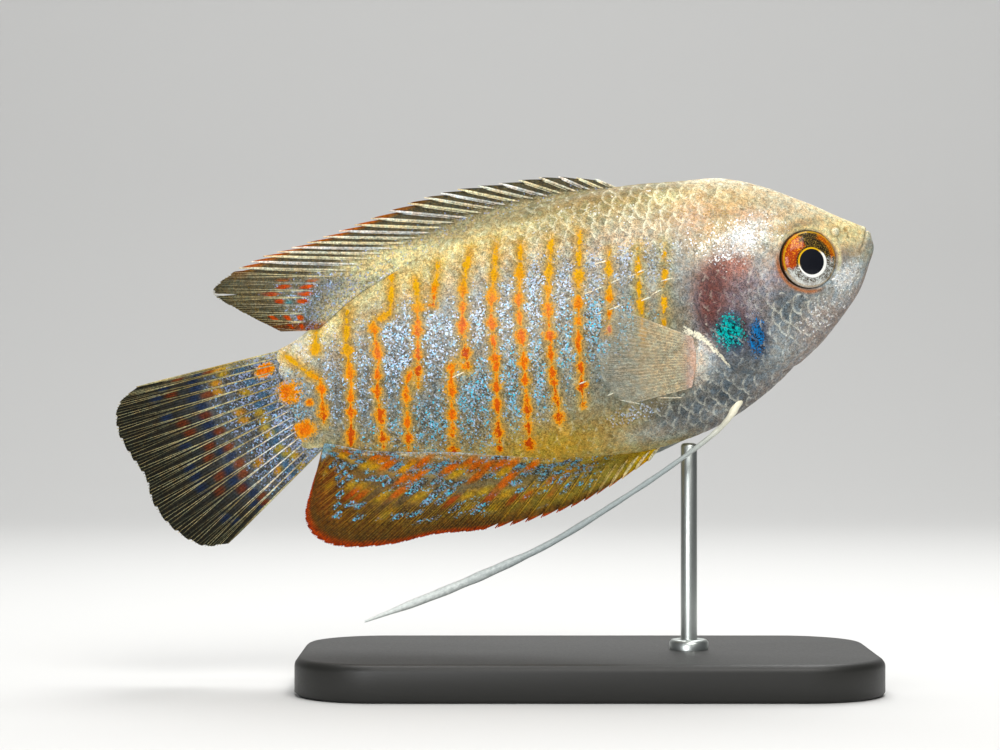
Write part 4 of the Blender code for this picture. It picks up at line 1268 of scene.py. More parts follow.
# %% The tree that makes rods of lines
def rod_tree():
    """The tree: lines with a radius at each point in, closed tapered rods out."""
    inputs = (("Sides", "Int"), ("Paint", "Material"))
    tree, (lines, sides, paint) = new_tree("make_rods", "Lines", inputs, "Rods")
    curve = node(tree, "GeometryNodeMeshToCurve", None, {0: lines})
    section = node(tree, "GeometryNodeCurvePrimitiveCircle", None, {"Resolution": sides, "Radius": MM})
    swept = node(tree, "GeometryNodeCurveToMesh", None,
                 {"Curve": curve, "Profile Curve": section, "Scale": named(tree, "radius_mm"),
                  "Fill Caps": True})
    return finish_tree(tree, swept, paint)


make_rods = rod_tree()


def rods(name, lines, radii, notes, sides, look):
    """Rods along lines of body-frame points, each point with a radius in mm and a note for the painter."""
    edges, first = [], 0
    for line in lines:
        edges += [(first + k, first + k + 1) for k in range(len(line) - 1)]
        first += len(line)
    mesh = bpy.data.meshes.new(name + "_lines")
    mesh.from_pydata([tuple(p) for p in to_part(np.concatenate(lines))], edges, [])
    source = add_object(name + "_lines", mesh)
    set_field(source, "radius_mm", np.concatenate(radii))
    set_field(source, "note", np.concatenate(notes), vector=True)
    made = grow(name, source, make_rods, {"Sides": sides, "Paint": look})
    read = np.zeros(len(made.data.vertices) * 3, np.float32)
    made.data.attributes["note"].data.foreach_get("vector", read)
    made.data.shade_smooth()
    made.data.attributes.remove(made.data.attributes["note"])
    return made, read.reshape(-1, 3).astype(float)


def ray_lines(lines, rays, soft_rays, stout):
    """Every ray of a fin as lines: whole where it is a spine, splitting twice where it is soft."""
    root, margin, wave = lines
    found, radii, notes = [], [], []

    def add(u_from, u_to, v_from, v_to, r_from, r_to, kind):
        t = np.linspace(0, 1, 22 if v_to - v_from > 0.5 else 14)
        v = v_from + (v_to - v_from) * t
        u = np.clip(u_from + (u_to - u_from) * t**0.8, 0, 1)
        found.append(fin_place(root, margin, wave, u, v))
        radii.append((r_from + (r_to - r_from) * t) * (1 - (0 if kind else 0.6) * ramp(t, 0.88, 1.0)))
        notes.append(np.stack([u, v, kind + 0 * v], -1))

    step = 1 / (rays - 1)
    for ray in range(rays):
        u, soft = ray * step, ray in soft_rays
        thick = stout[soft]
        if not soft:
            add(u, u, 0, 1.0, thick * 0.7, thick * 1.1, 0)
            # Beside each spine but the last, a thinner line stands for the highlight on the membrane:
            # painted light, not a ray.
            if ray < rays - 1:
                add(u + 0.4 * step, u + 0.2 * step, 0, 0.88, thick * 0.4, thick * 0.4, 0)
            continue
        fork, second = 0.34 + 0.05 * (ray % 3), 0.64 + 0.04 * (ray % 2)
        add(u, u, 0, fork, thick, thick * 0.66, 1)
        for side in (-1, 1):
            bend = u + side * 0.125 * step
            add(u, bend, fork - 0.01, second, thick * 0.6, thick * 0.45, 1)
            for twig in (-1, 1):
                tip = u + side * 0.25 * step + twig * 0.125 * step
                add(bend, tip, second - 0.01, 1.0, thick * 0.42, thick * 0.33, 1)
    return found, radii, notes


print("the rod tree has", len(make_rods.nodes), "nodes")

# %% [markdown]
# Fins are painted by the two shares as well. Two helpers serve all of them: beads that set a spot into
# the gaps between the rays, and empty fields for the marks and the glow. The back fin has silver spines
# with olive web between them, and its soft end carries rows of red spots with a few blue ones.

# %% Paint helpers, and the back fin's paint
DORSAL_SHADES = [(0, "moss"), (0.3, "moss"), (0.55, "olive"), (0.9, "olive"), (1.0, "moor")]
# Share from root to margin, seed, how many are there
RED_ROWS = [(0.41, 5, 0.95), (0.59, 6, 0.9), (0.76, 7, 0.3)]


def beads(u, v, rays, centre, length, width=0.36, keep=1.0, seed=0, soft=0.2):
    """Spots between the rays: 1 inside them. Each gap between two rays has its own small shift."""
    gap = np.clip(np.floor(u * (rays - 1)), 0, rays - 2).astype(int)
    inside = u * (rays - 1) - gap
    chance = np.random.default_rng(seed).random((rays, 2))
    shifted = v - centre - (chance[gap, 0] - 0.5) * 0.07
    shape = np.hypot((inside - 0.5) / width, shifted / length)
    return ramp(shape, 1 + soft, 1 - soft) * (chance[gap, 1] < keep)


def plain_fields(count):
    """Marks and glow with nothing in them but a little pepper."""
    marks, glow = np.zeros((count, 4)), np.zeros((count, 4))
    marks[:, 2] = 0.15
    return marks, glow


def paint_dorsal(u, v, web):
    """The back fin: its web or its rays."""
    soft = ramp(u, 0.7, 0.8)
    colour = lay(keyed_paint(DORSAL_SHADES, v),
                 ("soot", (1 - soft) * ramp(v, 0.22, 0.5) * 0.6 + soft * ramp(v, 0.45, 0.8) * 0.45),
                 ("slate", soft * ramp(v, 0.8, 0.25) * 0.75),
                 ("straw", ramp(v, 0.32, 0.1) * ramp(u, 0.35, 0.75) * 0.6),
                 ("straw", ramp(v, 0.55, 0.3) * ramp(u, 0.48, 0.62) * (1 - soft) * 0.8),
                 ("rust", ramp(u, 0.95, 0.99) * 0.7))
    marks, glow = plain_fields(len(u))
    if web:
        covered = np.zeros(len(u))
        for centre, seed, keep in RED_ROWS:
            spots = beads(u, v, DORSAL_RAYS, centre, 0.042, 0.32, keep, seed) * ramp(u, 0.76, 0.8)
            colour = blend(colour, "ember", spots)
            covered = np.maximum(covered, spots)
        blue = beads(u, v, DORSAL_RAYS, 0.5, 0.04, 0.3, 0.6, 8) * ramp(u, 0.86, 0.9)
        tips = ramp(v, 0.84, 0.94) * ramp(u, 0.25, 0.45) * (1 - soft)
        colour = lay(colour, ("cyan", blue * 0.7), ("orange", tips * 0.7))
        glow[:, 0] = ((0.2 + 0.3 * soft) * ramp(v, 0.8, 0.3)) * (1 - covered)
    else:
        colour = lay(colour,
                     ("white", (0.75 + 0.25 * ramp(v, 0.6, 0.85) - 0.4 * soft) * ramp(v, 0.15, 0.35)),
                     ("straw", (0.5 + 0.5 * np.sin(u * 61.0)) * ramp(v, 0.2, 0.4) * 0.7),
                     ("orange", ramp(v, 0.9, 0.98) * (1 - soft) * ramp(u, 0.25, 0.45) * 0.2),
                     ("olive", soft * ramp(v, 0.4, 0.9) * 0.7))
    glow[:, 1:3] = 0.3
    return to_light(colour), marks, glow


print("rows of red spots:", len(RED_ROWS))

# %% [markdown]
# The anal fin is brown with a pearly line along its root, short streaks of blue glitter and of orange in
# the gaps between its rays, and a bright orange hem. Its front end is yellow green.

# %% The anal fin's paint
ANAL_SHADES = [(0, "pearl"), (0.03, "honey"), (0.14, "honey"), (0.32, "umber"), (0.92, "umber"),
               (0.97, "ember"), (1.0, "ember")]
# Share from root to margin, how many are there; their seeds count up from the first
BLUE_STREAKS = [(0.1, 0.8), (0.18, 0.85), (0.27, 0.8), (0.37, 0.75), (0.48, 0.7), (0.58, 0.55), (0.68, 0.5),
                (0.77, 0.3)]
FIRST_SEED = 20
# Paint, share from root to margin, how many are there, seed
WARM_STREAKS = [("orange", 0.13, 0.45, 30), ("gold", 0.2, 0.3, 34), ("orange", 0.26, 0.35, 31),
                ("orange", 0.4, 0.25, 32), ("gold", 0.48, 0.3, 35), ("ember", 0.56, 0.3, 33),
                ("gold", 0.68, 0.3, 36)]


def paint_anal(u, v, web):
    """The anal fin: its web or its rays."""
    pearly = 0.8 * mound(v - 0.05 - 0.015 * np.sin(u * 23), 0.014)
    colour = lay(keyed_paint(ANAL_SHADES, v),
                 ("sand", pearly * ramp(np.sin(u * 61) + np.sin(u * 37), -1.2, 0.4)),
                 ("fern", ramp(u, 0.6, 0.1) * ramp(v, 0.9, 0.7) * 0.65),
                 ("gold", ramp(u, 0.7, 0.2) * ramp(v, 0.8, 0.1) * 0.35),
                 ("rust", ramp(u, 0.6, 0.95) * ramp(v, 0.3, 0.6) * ramp(v, 0.95, 0.8) * 0.5),
                 ("haze", ramp(u, 0.35, 0.45) * mound(v - 0.22, 0.05) * 0.7),
                 ("yellow", ramp(u, 0.12, 0.0) * 0.85))
    marks, glow = plain_fields(len(u))
    marks[:, 2] = 0.5
    streaks, covered = np.zeros(len(u)), np.zeros(len(u))
    if web:
        for k, (centre, keep) in enumerate(BLUE_STREAKS):
            seed = FIRST_SEED + k
            row = centre + 0.05 * np.sin(u * 19 + seed)
            streaks = np.maximum(streaks, beads(u, v, ANAL_RAYS, row, 0.042, 0.5, keep, seed, 0.5))
        streaks *= ramp(u, 0.1, 0.25) * ramp(v, 0.86, 0.7) * (1 - 0.3 * v)
        dark = np.maximum(streaks * 0.85, 0.48 * patch(u, v, 0.5, 0.35, 0.35, 0.25))
        colour = blend(colour, "slate", dark)
        for name, centre, keep, seed in WARM_STREAKS:
            warm = beads(u, v, ANAL_RAYS, centre, 0.07, 0.5, keep, seed, 0.8) * ramp(u, 0.15, 0.4)
            colour = blend(colour, name, warm * (0.95 - 0.4 * centre))
            covered = np.maximum(covered, warm)
        colour = blend(colour, "sky", ramp(u, 0.955, 0.985) * ramp(v, 0.75, 0.4) * 0.8)
    else:
        shine = (0.33 - 0.1 * ramp(u, 0.5, 0.05)) * ramp(v, 0.1, 0.25) * ramp(v, 0.95, 0.8)
        colour = lay(colour, ("gold", shine), ("ochre", 0.3 * ramp(v, 0.9, 0.6) * ramp(v, 0.1, 0.25)),
                     ("cream", ramp(u, 0.2, 0.0) * 0.8))
    glow[:, 0] = np.maximum(0.3 * ramp(v, 0.22, 0.06), streaks * 1.1) * (1 if web else 0.5) * (1 - covered)
    glow[:, 1] = 0.8
    glow[:, 2] = 0.35 * ramp(v, 0.9, 0.7)
    return to_light(colour), marks, glow


print("rows of streaks:", len(BLUE_STREAKS) + len(WARM_STREAKS))

# %% [markdown]
# The tail is grey and glittering at its root and grows darker outwards, with arcs of blue, gold and rust
# spots between its rays. Its rays are straw coloured, with painted glints that brighten them one by one
# and a painted highlight on the lower rays near the root. The pectoral fins are almost clear, with a pink
# root.

# %% The tail's paint, and the pectoral fins'
TAIL_SHADES = [(0, "ash"), (0.08, "stone"), (0.2, "slate"), (0.5, "slate"), (0.72, "soot"), (0.86, "pitch"),
               (1.0, "pitch")]
# Place in shares of the fin, reach along and across
ORANGE_SPOTS = [(0.14, 0.2, 0.07, 0.06), (0.38, 0.1, 0.12, 0.08), (0.56, 0.06, 0.06, 0.04),
                (0.72, 0.09, 0.1, 0.07)]
# Paint, share from root to margin, how that changes across the fin, how many are there, seed, strength
TAIL_SPOTS = [("blue", 0.32, 0.0, 0.6, 40, 0.8), ("navy", 0.6, 0.0, 0.85, 45, 0.8),
              ("navy", 0.78, 0.0, 0.7, 47, 0.8), ("gold", 0.44, -0.2, 0.75, 42, 0.7),
              ("amber", 0.5, -0.12, 0.45, 43, 0.6), ("rust", 0.57, 0.0, 0.6, 44, 0.7),
              ("rust", 0.7, 0.0, 0.6, 46, 0.7)]


def paint_tail(u, v, web):
    """The tail fin: its web or its rays."""
    colour = lay(keyed_paint(TAIL_SHADES, v), ("soot", ramp(v, 0.12, 0.3) * 0.4),
                 ("moor", ramp(v, 0.6, 0.9) * 0.3), ("straw", ramp(u, 0.1, 0.0) * ramp(v, 0.9, 0.4) * 0.6))
    marks, glow = plain_fields(len(u))
    arc = 0.06 * np.sin(math.pi * u)
    covered = np.zeros(len(u))
    if web:
        for name, centre, slope, keep, seed, share in TAIL_SPOTS:
            spots = beads(u, v, TAIL_RAYS, centre + slope * u - arc, 0.032, 0.42, keep, seed, 0.6)
            colour = blend(colour, name, spots * share)
            covered = np.maximum(covered, spots * share)
        for spot_u, spot_v, reach_u, reach_v in ORANGE_SPOTS:
            spots = np.exp(-(((u - spot_u) / reach_u) ** 2 + ((v - spot_v) / reach_v) ** 2) ** 1.5)
            marks[:, 1] = np.where(spots > marks[:, 0], 0.6, marks[:, 1])
            marks[:, 0] = np.maximum(marks[:, 0], spots)
    else:
        # Painted light: a glint that brightens the rays one by one, and a white painted highlight on the
        # lower rays near the root.
        painted_glint = 0.5 + 0.5 * np.sin(u * 97 + 9 * v)
        colour = lay(colour, ("olive", 0.6), ("straw", 0.1 + 0.6 * painted_glint),
                     ("gold", ramp(v, 0.8, 0.5) * (1 - painted_glint) * 0.3),
                     ("white", patch(u, v, 0.72, 0.28, 0.3, 0.35) * (0.3 + 0.6 * painted_glint)))
    glow[:, 0] = 0.75 * ramp(v, 0.66, 0.25) * (1 if web else 0.15) * (1 - covered)
    glow[:, 1] = 0.36
    glow[:, 2] = 0.3 * ramp(v, 0.6, 0.3)
    return to_light(colour), marks, glow


def paint_pectoral(u, v, web):
    """A pectoral fin: its web or its rays."""
    colour = keyed_paint([(0, "blush"), (0.07, "blush"), (0.16, "sand"), (1.0, "sand")], v)
    colour = lay(colour, ("mist", ramp(v, 0.35, 0.9) * 0.6), ("cream", 0.0 if web else 0.75))
    marks, glow = plain_fields(len(u))
    marks[:, 2] = 0
    return to_light(colour), marks, glow


print("rows of spots in the tail:", len(TAIL_SPOTS))

# %% [markdown]
# A fin is then one call: its two lines, how many rays and which of them are soft, how deep the membrane
# is cut in between them, how fleshy its root is, and who paints it. Beside each ray the web is painted
# darker, as a painted shadow of the ray. Only the pectoral fins are see-through, the more so towards
# the margin.

# %% The back, anal and tail fins
SLIT_GAP, SLIT_DEPTH, SLIT_WIDTH = 24.5, 0.15, 0.2
# Opacity of the membrane at its root and beyond it, and of the rays
OPAQUE, FILMY = (1.0, 1.0, 1.0), (0.8, 0.36, 0.6)


def notched(depth, last):
    """The membrane hangs below the tip of each spine and rises to the next; beyond the last it is even."""
    return lambda u, between: np.where(u < last, depth, 0.015) * (1 - between) ** 1.5


def with_slit(u, between):
    """The back fin's edge, which also has a slit beside its longest ray."""
    slit = np.clip(1 - np.abs(u * (DORSAL_RAYS - 1) - SLIT_GAP) / SLIT_WIDTH, 0, 1)
    return notched(0.1, 0.74)(u, between) + SLIT_DEPTH * slit


def painted_ray_shadow(u, v, rays, soft_rays):
    """How much the web is painted darker beside its rays and twigs, as their painted shadow."""
    place = u * (rays - 1)
    soft = np.isin(np.round(place).astype(int), soft_rays).astype(float)
    twigs = 0.65 * (0.5 + 0.5 * np.cos(8 * math.pi * place)) * soft * ramp(v, 0.45, 0.65)
    return twigs + 0.6 * mound(place % 1.0 - 0.2, 0.14) * (1 - soft) * ramp(v, 0.15, 0.4)


def make_fin(name, lines, rays, soft_rays, painter, stands_for, stout, detail, notch, flesh,
             clear=OPAQUE):
    """A whole fin: membrane and rays, painted, riding in place of its solid.

    stout holds the radius of a spine and of a soft ray in mm, detail the faces from ray to ray and from
    root to margin, and flesh the extra thickness at the root and how far it reaches.
    """
    soft_rays = list(soft_rays)
    web, u, v = make_web(name + "_web", lines, rays, *detail, notch, flesh, fin_look)
    ground, marks, glow = painter(u, v, True)
    fade = 0.65 if clear == FILMY else 0.0
    # Painted shadow of the rays on the web of the opaque fins.
    if clear == OPAQUE:
        ground = ground * (1 - painted_ray_shadow(u, v, rays, soft_rays))[:, None]
    dress(web, ground, marks, glow)
    at_root, beyond, on_rays = clear
    film = at_root + (beyond - at_root) * ramp(v, 0.01, 0.1)
    set_field(web, "clear", film * (1 - fade * ramp(v, 0.4, 1)))
    stays, note = rods(name + "_rays", *ray_lines(lines, rays, soft_rays, stout), 6, fin_look)
    dress(stays, *painter(note[:, 0], note[:, 1], False))
    set_field(stays, "clear", on_rays * (1 - fade * ramp(note[:, 1], 0.4, 1)))
    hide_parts(stands_for)
    for piece in (web, stays):
        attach(piece, "root")
        report(piece)


make_fin("dorsal", (dorsal_root, line_of(DORSAL_MARGIN), out_wave), DORSAL_RAYS,
         range(DORSAL_SPINES, DORSAL_RAYS), paint_dorsal, "dorsal_fin",
         stout=(0.125, 0.1), detail=(8, 46), notch=with_slit, flesh=(1.6, 0.2))
make_fin("anal", (anal_root, line_of(ANAL_MARGIN), out_wave), ANAL_RAYS,
         range(ANAL_SPINES, ANAL_RAYS), paint_anal, "anal_fin",
         stout=(0.12, 0.09), detail=(8, 60), notch=notched(0.08, ANAL_SPINES / ANAL_RAYS), flesh=(2.0, 0.2))
make_fin("tail", (tail_root, line_of(TAIL_MARGIN), tail_wave), TAIL_RAYS,
         range(1, TAIL_RAYS - 1), paint_tail, "tail_fin",
         stout=(0.095, 0.095), detail=(8, 110), notch=notched(0.012, 1.0), flesh=(0.4, 0.12))

# %% [markdown]
# The side line of this fish is a broken row of short pale tubes, half sunk in the scales, and behind the
# gill cover lie a few thin pale folds. They are rods like the rays. The pectoral fins stand just over
# them, one on each side.

# %% The side line and the pectoral fins
# From and to, at (s, h)
TUBES = [[(30.7, 2.6), (30.1, 2.7)], [(28.7, 2.7), (27.9, 2.75)], [(27.7, 2.8), (26.8, 2.9)],
         [(27.0, 5.2), (25.9, 5.2)], [(26.0, 3.0), (25.0, 3.2)], [(24.3, 3.15), (23.5, 3.2)],
         [(23.3, 3.3), (22.5, 3.4)], [(28.1, 0.5), (27.5, 0.55)], [(26.9, 0.6), (25.6, 0.7)],
         [(23.7, 0.6), (22.7, 0.7)], [(22.5, 0.9), (21.6, 1.1)], [(21.4, 1.9), (20.2, 1.9)],
         [(43.1, -1.6), (41.9, -1.4)], [(31.6, -5.5), (30.8, -5.4)], [(29.2, -7.3), (28.6, -7.2)],
         [(22.1, 9.9), (22.0, 9.1)], [(20.9, 8.7), (20.7, 7.4)], [(19.5, 8.6), (19.6, 8.0)],
         [(19.8, 7.7), (20.0, 6.4)], [(22.5, 8.8), (21.9, 8.3)], [(21.2, -3.7), (20.4, -4.5)],
         [(24.6, -8.8), (22.4, -9.4)], [(28.2, -8.0), (26.4, -8.9)]]
TUBE_RADIUS, TUBE_DEPTH = 0.075, 0.1


def side_line(side_name, side):
    """The pale tubes and folds of one side."""
    t = np.linspace(0, 1, 9)
    swell = TUBE_RADIUS * (0.25 + 0.75 * np.sin(math.pi * np.clip(t, 0.02, 0.98)) ** 0.6)
    lines = []
    for first, last in TUBES:
        s, h = first[0] + (last[0] - first[0]) * t, first[1] + (last[1] - first[1]) * t
        lines.append(np.stack([s, side * (flank(s, h) - TUBE_DEPTH), h], -1))
    radii, notes = [swell] * len(TUBES), [np.stack([t, 0 * t, 0 * t], -1)] * len(TUBES)
    tubes, note = rods("side_line_" + side_name, lines, radii, notes, 6, fin_look)
    dress(tubes, to_light(np.tile(paint("cream"), (len(note), 1))), *plain_fields(len(note)))
    set_field(tubes, "clear", np.ones(len(note)))
    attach(tubes, "root")
    report(tubes)


for side_name, side in (("right", -1), ("left", 1)):
    side_line(side_name, side)
    make_fin("pectoral_" + side_name, (pectoral_root, pectoral_margin, pectoral_wave(side)), PECTORAL_RAYS,
             range(1, PECTORAL_RAYS), paint_pectoral, "pectoral_fin_" + side_name,
             stout=(0.042, 0.042), detail=(8, 50), notch=notched(0.03, 1.0), flesh=(0.35, 0.12),
             clear=FILMY)

# %% [markdown]
# The two feelers are the pelvic fins, each drawn out into one jointed thread. They leave the breast
# square to it and trail back, white and thick at the root, silver at the tip. Each is one rod in place of
# the three lengths of its solid, a touch uneven, as a real thread is.

# %% The feelers
FEELER_ROOT = (17.5, -11.7)
FEELER_RIGHT = [(20.6, -13.7, 3.5), (25.3, -15.5, 4.0), (30.9, -17.3, 4.6), (38.0, -19.3, 5.4),
                (44.0, -20.3, 6.6), (50.0, -21.0, 8.0), (57.2, -21.6, 9.6)]
FEELER_LEFT = [(21.2, -13.1, 3.6), (26.0, -14.0, 4.3), (32.0, -14.2, 4.9), (38.0, -13.9, 5.2),
               (44.0, -12.9, 5.5), (50.0, -11.4, 6.0), (55.5, -9.4, 6.8)]
FEELER_RADIUS = [(0, 0.5), (0.03, 0.44), (0.08, 0.36), (0.25, 0.25), (0.6, 0.31), (0.93, 0.33), (1, 0.1)]


def out_of_flank(s, h):
    """The direction (s, h, out) that is square to the flank at a point."""
    step = 0.05
    lean_s = (flank(s + step, h) - flank(s - step, h)) / (2 * step)
    lean_h = (flank(s, h + step) - flank(s, h - step)) / (2 * step)
    direction = np.array((-float(lean_s), -float(lean_h), 1.0))
    return direction / np.linalg.norm(direction)


def feeler_material():
    """Milky thread with a fine grain and a silver sheen."""
    made, tree, shader, place = new_material("feeler_paint")
    grain = noise(tree, place, 0.35)
    along = attribute_number(tree, "along")
    colour = mixed(tree, along.ramp(0.02, 0.4), tint("cream"), tint("mist"))
    colour = mixed(tree, (along + grain * 0.3).ramp(0.75, 1.15), colour, tint("silver"))
    feed(tree, shader, Base_Color=scaled(tree, colour, 0.8 + 0.4 * grain), Roughness=0.35 + 0.2 * grain,
         Normal=bump(tree, 0.4, 0.00005, grain), Coat_Weight=0.25, Coat_Roughness=0.2)
    return made


feeler_look = feeler_material()
on_breast = np.array((*FEELER_ROOT, float(flank(*FEELER_ROOT))))
start, clear_of_it = [tuple(on_breast + reach * out_of_flank(*FEELER_ROOT)) for reach in (-0.5, 0.3)]
start = (start[0] - 0.6, start[1] + 0.2, start[2])
clear_of_it = (clear_of_it[0] + 0.9, clear_of_it[1] - 0.6, clear_of_it[2])
for side_name, side, points in (("right", -1, FEELER_RIGHT), ("left", 1, FEELER_LEFT)):
    t = np.linspace(0, 1, 150)
    path = line_of([start, clear_of_it, *points])(t)
    thread = np.stack([path[:, 0], side * path[:, 2], path[:, 1]], -1)
    radius = smooth_curve(FEELER_RADIUS)(t) * (1 + 0.05 * np.sin(t * 90) + 0.05 * np.sin(t * 37 + side))
    note = np.stack([t, 0 * t, 0 * t], -1)
    feeler, note = rods("feeler_" + side_name, [thread], [radius], [note], 14, feeler_look)
    set_field(feeler, "along", note[:, 0])
    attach(feeler, "root")
    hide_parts(*[f"pelvic_feeler_{side_name}_{k}" for k in (1, 2, 3)])
    report(feeler)

# %% [markdown]
# A fish's eye is a clear dome over a flat iris. The iris has a bright thin ring round a black pupil, is
# orange above and behind, dark on top and speckled silver below, inside a dark outer ring. The dome is
# one smooth shape whose glossy coat does the clear layer's work, with the iris painted underneath.

# %% The eyes
PUPIL, RING_IN, RING_OUT, IRIS_EDGE = 0.424, 0.436, 0.48, 0.955
EYE_BULGE, EYE_BACK = 1.05, 1.5
PUPIL_S, PUPIL_H = 7.0, -0.17
PUPIL_BLACK = (0.004, 0.005, 0.009, 1)


def eye_material():
    """The iris from its polar coordinates: radius from 0 to 1, and turns from the front upwards."""
    made, tree, shader, place = new_material("eye_paint")
    radius, up, fore, rim = [attribute_number(tree, name) for name in ("radius", "up", "fore", "rim")]
    grain = noise(tree, place, 0.13, 4.0, 0.7)
    wide = noise(tree, place, 0.5, 3.0)

    def towards(degrees):
        """1 in a direction from the pupil, 0 square to it."""
        turn = math.radians(degrees)
        return fore * math.cos(turn) + up * math.sin(turn) + (wide - 0.5) * 0.5

    silver = mixed(tree, (grain * 0.7 + wide * 0.3).ramp(0.44, 0.6), tint("bark", 0.7), tint("silver"))
    silver = mixed(tree, rim.ramp(0.74, 0.84) * towards(-120).ramp(0.2, 0.8) * 0.4, silver, tint("white"))
    redness = towards(175).ramp(0.5, 0.95)
    orange = mixed(tree, (grain - redness * 0.08).ramp(0.44, 0.62), tint("ember", 0.7), tint("amber", 1.05))
    dusk = mixed(tree, grain.ramp(0.46, 0.7), tint("pitch", 0.3), tint("ochre", 0.8))
    rear_patch = towards(142).ramp(0.68, 0.82) * radius.ramp(0.5, 0.58)
    front_patch = towards(28).ramp(0.78, 0.9) * rim.ramp(0.68, 0.78)
    thin_line = rim.ramp(0.88, 0.915) * rim.ramp(0.955, 0.94) * up.ramp(-0.5, 0.2, 0.3, 0.8)
    bright = mixed(tree, (up - fore * 0.3).ramp(0.0, 0.5), tint("white", 1.1), tint("yellow", 0.95))
    outer = RING_OUT + 0.055 * towards(-50).ramp(-0.1, 0.8)
    colour = glazed(tree, silver, ((up + (wide - 0.5) * 0.3).ramp(-0.08, 0.12), dusk),
                    (rear_patch.at_least(front_patch), orange), (thin_line, tint("gold")),
                    ((radius - outer + (grain - 0.5) * 0.04).ramp(0.015, -0.015), bright),
                    (radius.ramp(RING_IN, PUPIL), PUPIL_BLACK),
                    (rim.ramp(IRIS_EDGE, 0.985), tint("bark", 0.6)))
    iris = radius.ramp(RING_IN, RING_OUT)
    feed(tree, shader, Base_Color=colour, Roughness=0.5 - 0.1 * grain, Metallic=0.2 * iris,
         Normal=bump(tree, 0.4, 0.00008, grain), Coat_Weight=0.35, Coat_Roughness=0.03, IOR=1.2)
    return made


eye_look = eye_material()


def make_eye(side_name, side):
    """A closed lens shape: the clear dome in front, a deeper bowl behind."""
    around, rows = 96, 44
    turn = np.linspace(0, 2 * math.pi, around, endpoint=False)
    share = np.linspace(0, 1, rows)[1:]
    rings, polar = [], []
    for outward, t in [(1, x) for x in share] + [(-1, x) for x in share[-2::-1]]:
        r = math.sin(t * math.pi / 2)
        depth = (EYE_BULGE if outward > 0 else EYE_BACK) * math.cos(t * math.pi / 2)
        rings.append(np.stack([-r * np.cos(turn), np.full(around, outward * depth), r * np.sin(turn)], -1))
        polar.append(np.stack([np.full(around, r if outward > 0 else 1.0), np.sin(turn), np.cos(turn)], -1))
    flat = np.concatenate(rings + [np.array([[0, EYE_BULGE, 0], [0, -EYE_BACK, 0]])])
    notes = np.concatenate(polar + [np.array([[0.0, 0, 0], [1.0, 0, 0]])])
    ds, dy, dh = flat[:, 0] * EYE_RADIUS * 0.985, flat[:, 1], flat[:, 2] * EYE_RADIUS * 0.985
    places = np.stack([EYE_S + ds * math.cos(EYE_TOE) - dy * math.sin(EYE_TOE),
                       side * (EYE_Y + dy * math.cos(EYE_TOE) + ds * math.sin(EYE_TOE)), EYE_H + dh], -1)
    count = len(rings)
    faces = [grid_faces(count, around, True), fan_faces(np.arange(around), count * around)[:, ::-1],
             fan_faces(np.arange(around) + (count - 1) * around, count * around + 1)]
    made = make_mesh("eyeball_" + side_name, to_part(places), faces)
    off_s, off_h = (ds + EYE_S - PUPIL_S) / EYE_RADIUS, (dh + EYE_H - PUPIL_H) / EYE_RADIUS
    radius = np.where(notes[:, 0] < 0.999, np.hypot(off_s, off_h), 1.0)
    set_field(made, "radius", radius)
    set_field(made, "rim", notes[:, 0])
    set_field(made, "up", off_h / np.maximum(radius, 0.05))
    set_field(made, "fore", -off_s / np.maximum(radius, 0.05))
    made.data.materials.append(eye_look)
    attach(made, "root")
    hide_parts("eye_" + side_name)
    report(made)


make_eye("right", -1)
make_eye("left", 1)

# %% [markdown]
# The stand is shop-made: a black base turned over at its edges, and one steel rod in a plain socket. It
# isn't on the photographed fish, so it stays quiet. The base is a stack of rounded outlines that follow
# a quarter-round edge; the rod is a lathe profile with a soft top.

# %% The stand
BASE_LENGTH, BASE_DEPTH, BASE_HEIGHT, BASE_CORNER, BASE_EDGE = 56.0, 30.0, 3.6, 8.0, 0.8
FOOT_INSET = 0.35
ROD_STATION, ROD_RADIUS, ROD_FOOT, ROD_GAP, ROD_NOSE = 22.6, 0.8, 3.4, 0.3, 0.3
# Height above the base and radius
COLLAR = [(0.0, 1.9), (0.7, 1.9), (0.95, 1.7), (1.0, 1.45)]
rod_at = to_part(np.array([ROD_STATION, 0.0, float(belly(ROD_STATION))])) / MM


def rounded_outline(inset, height, steps=12):
    """A ring of points: the base's rectangle with round corners, drawn in by inset."""
    corner = BASE_CORNER - inset
    points = []
    for quarter in range(4):
        mid = (quarter + 0.5) * math.pi / 2
        cx = math.copysign(BASE_LENGTH / 2 - inset - corner, math.cos(mid))
        cy = math.copysign(BASE_DEPTH / 2 - inset - corner, math.sin(mid))
        for i in range(steps + 1):
            turn = (quarter + i / steps) * math.pi / 2
            points.append((cx + corner * math.cos(turn), cy + corner * math.sin(turn), height))
    return points


def stack(name, rings, look):
    """A closed solid through rings of points in millimetres."""
    count = len(rings[0])
    points = np.concatenate([np.array(r, float) for r in rings])
    ends = [np.array(rings[0], float).mean(0), np.array(rings[-1], float).mean(0)]
    points = np.concatenate([points, ends])
    faces = [grid_faces(len(rings), count, True), fan_faces(np.arange(count), len(points) - 2)[:, ::-1],
             fan_faces(np.arange(count) + (len(rings) - 1) * count, len(points) - 1)]
    made = make_mesh(name, points * MM, faces)
    made.data.set_sharp_from_angle(angle=math.radians(50))
    made.data.materials.append(look)
    return made


def plain_material(name, paint_name, strength, roughness, metallic, grain_size, brushed=0.0):
    """One even finish with a fine grain."""
    made, tree, shader, place = new_material(name)
    grain = noise(tree, place, grain_size)
    feed(tree, shader, Base_Color=scaled(tree, tint(paint_name, strength)[:3], 0.85 + 0.3 * grain),
         Roughness=roughness + 0.16 * grain, Metallic=metallic, Anisotropic=brushed,
         Normal=bump(tree, 0.15, 0.00003, grain))
    return made


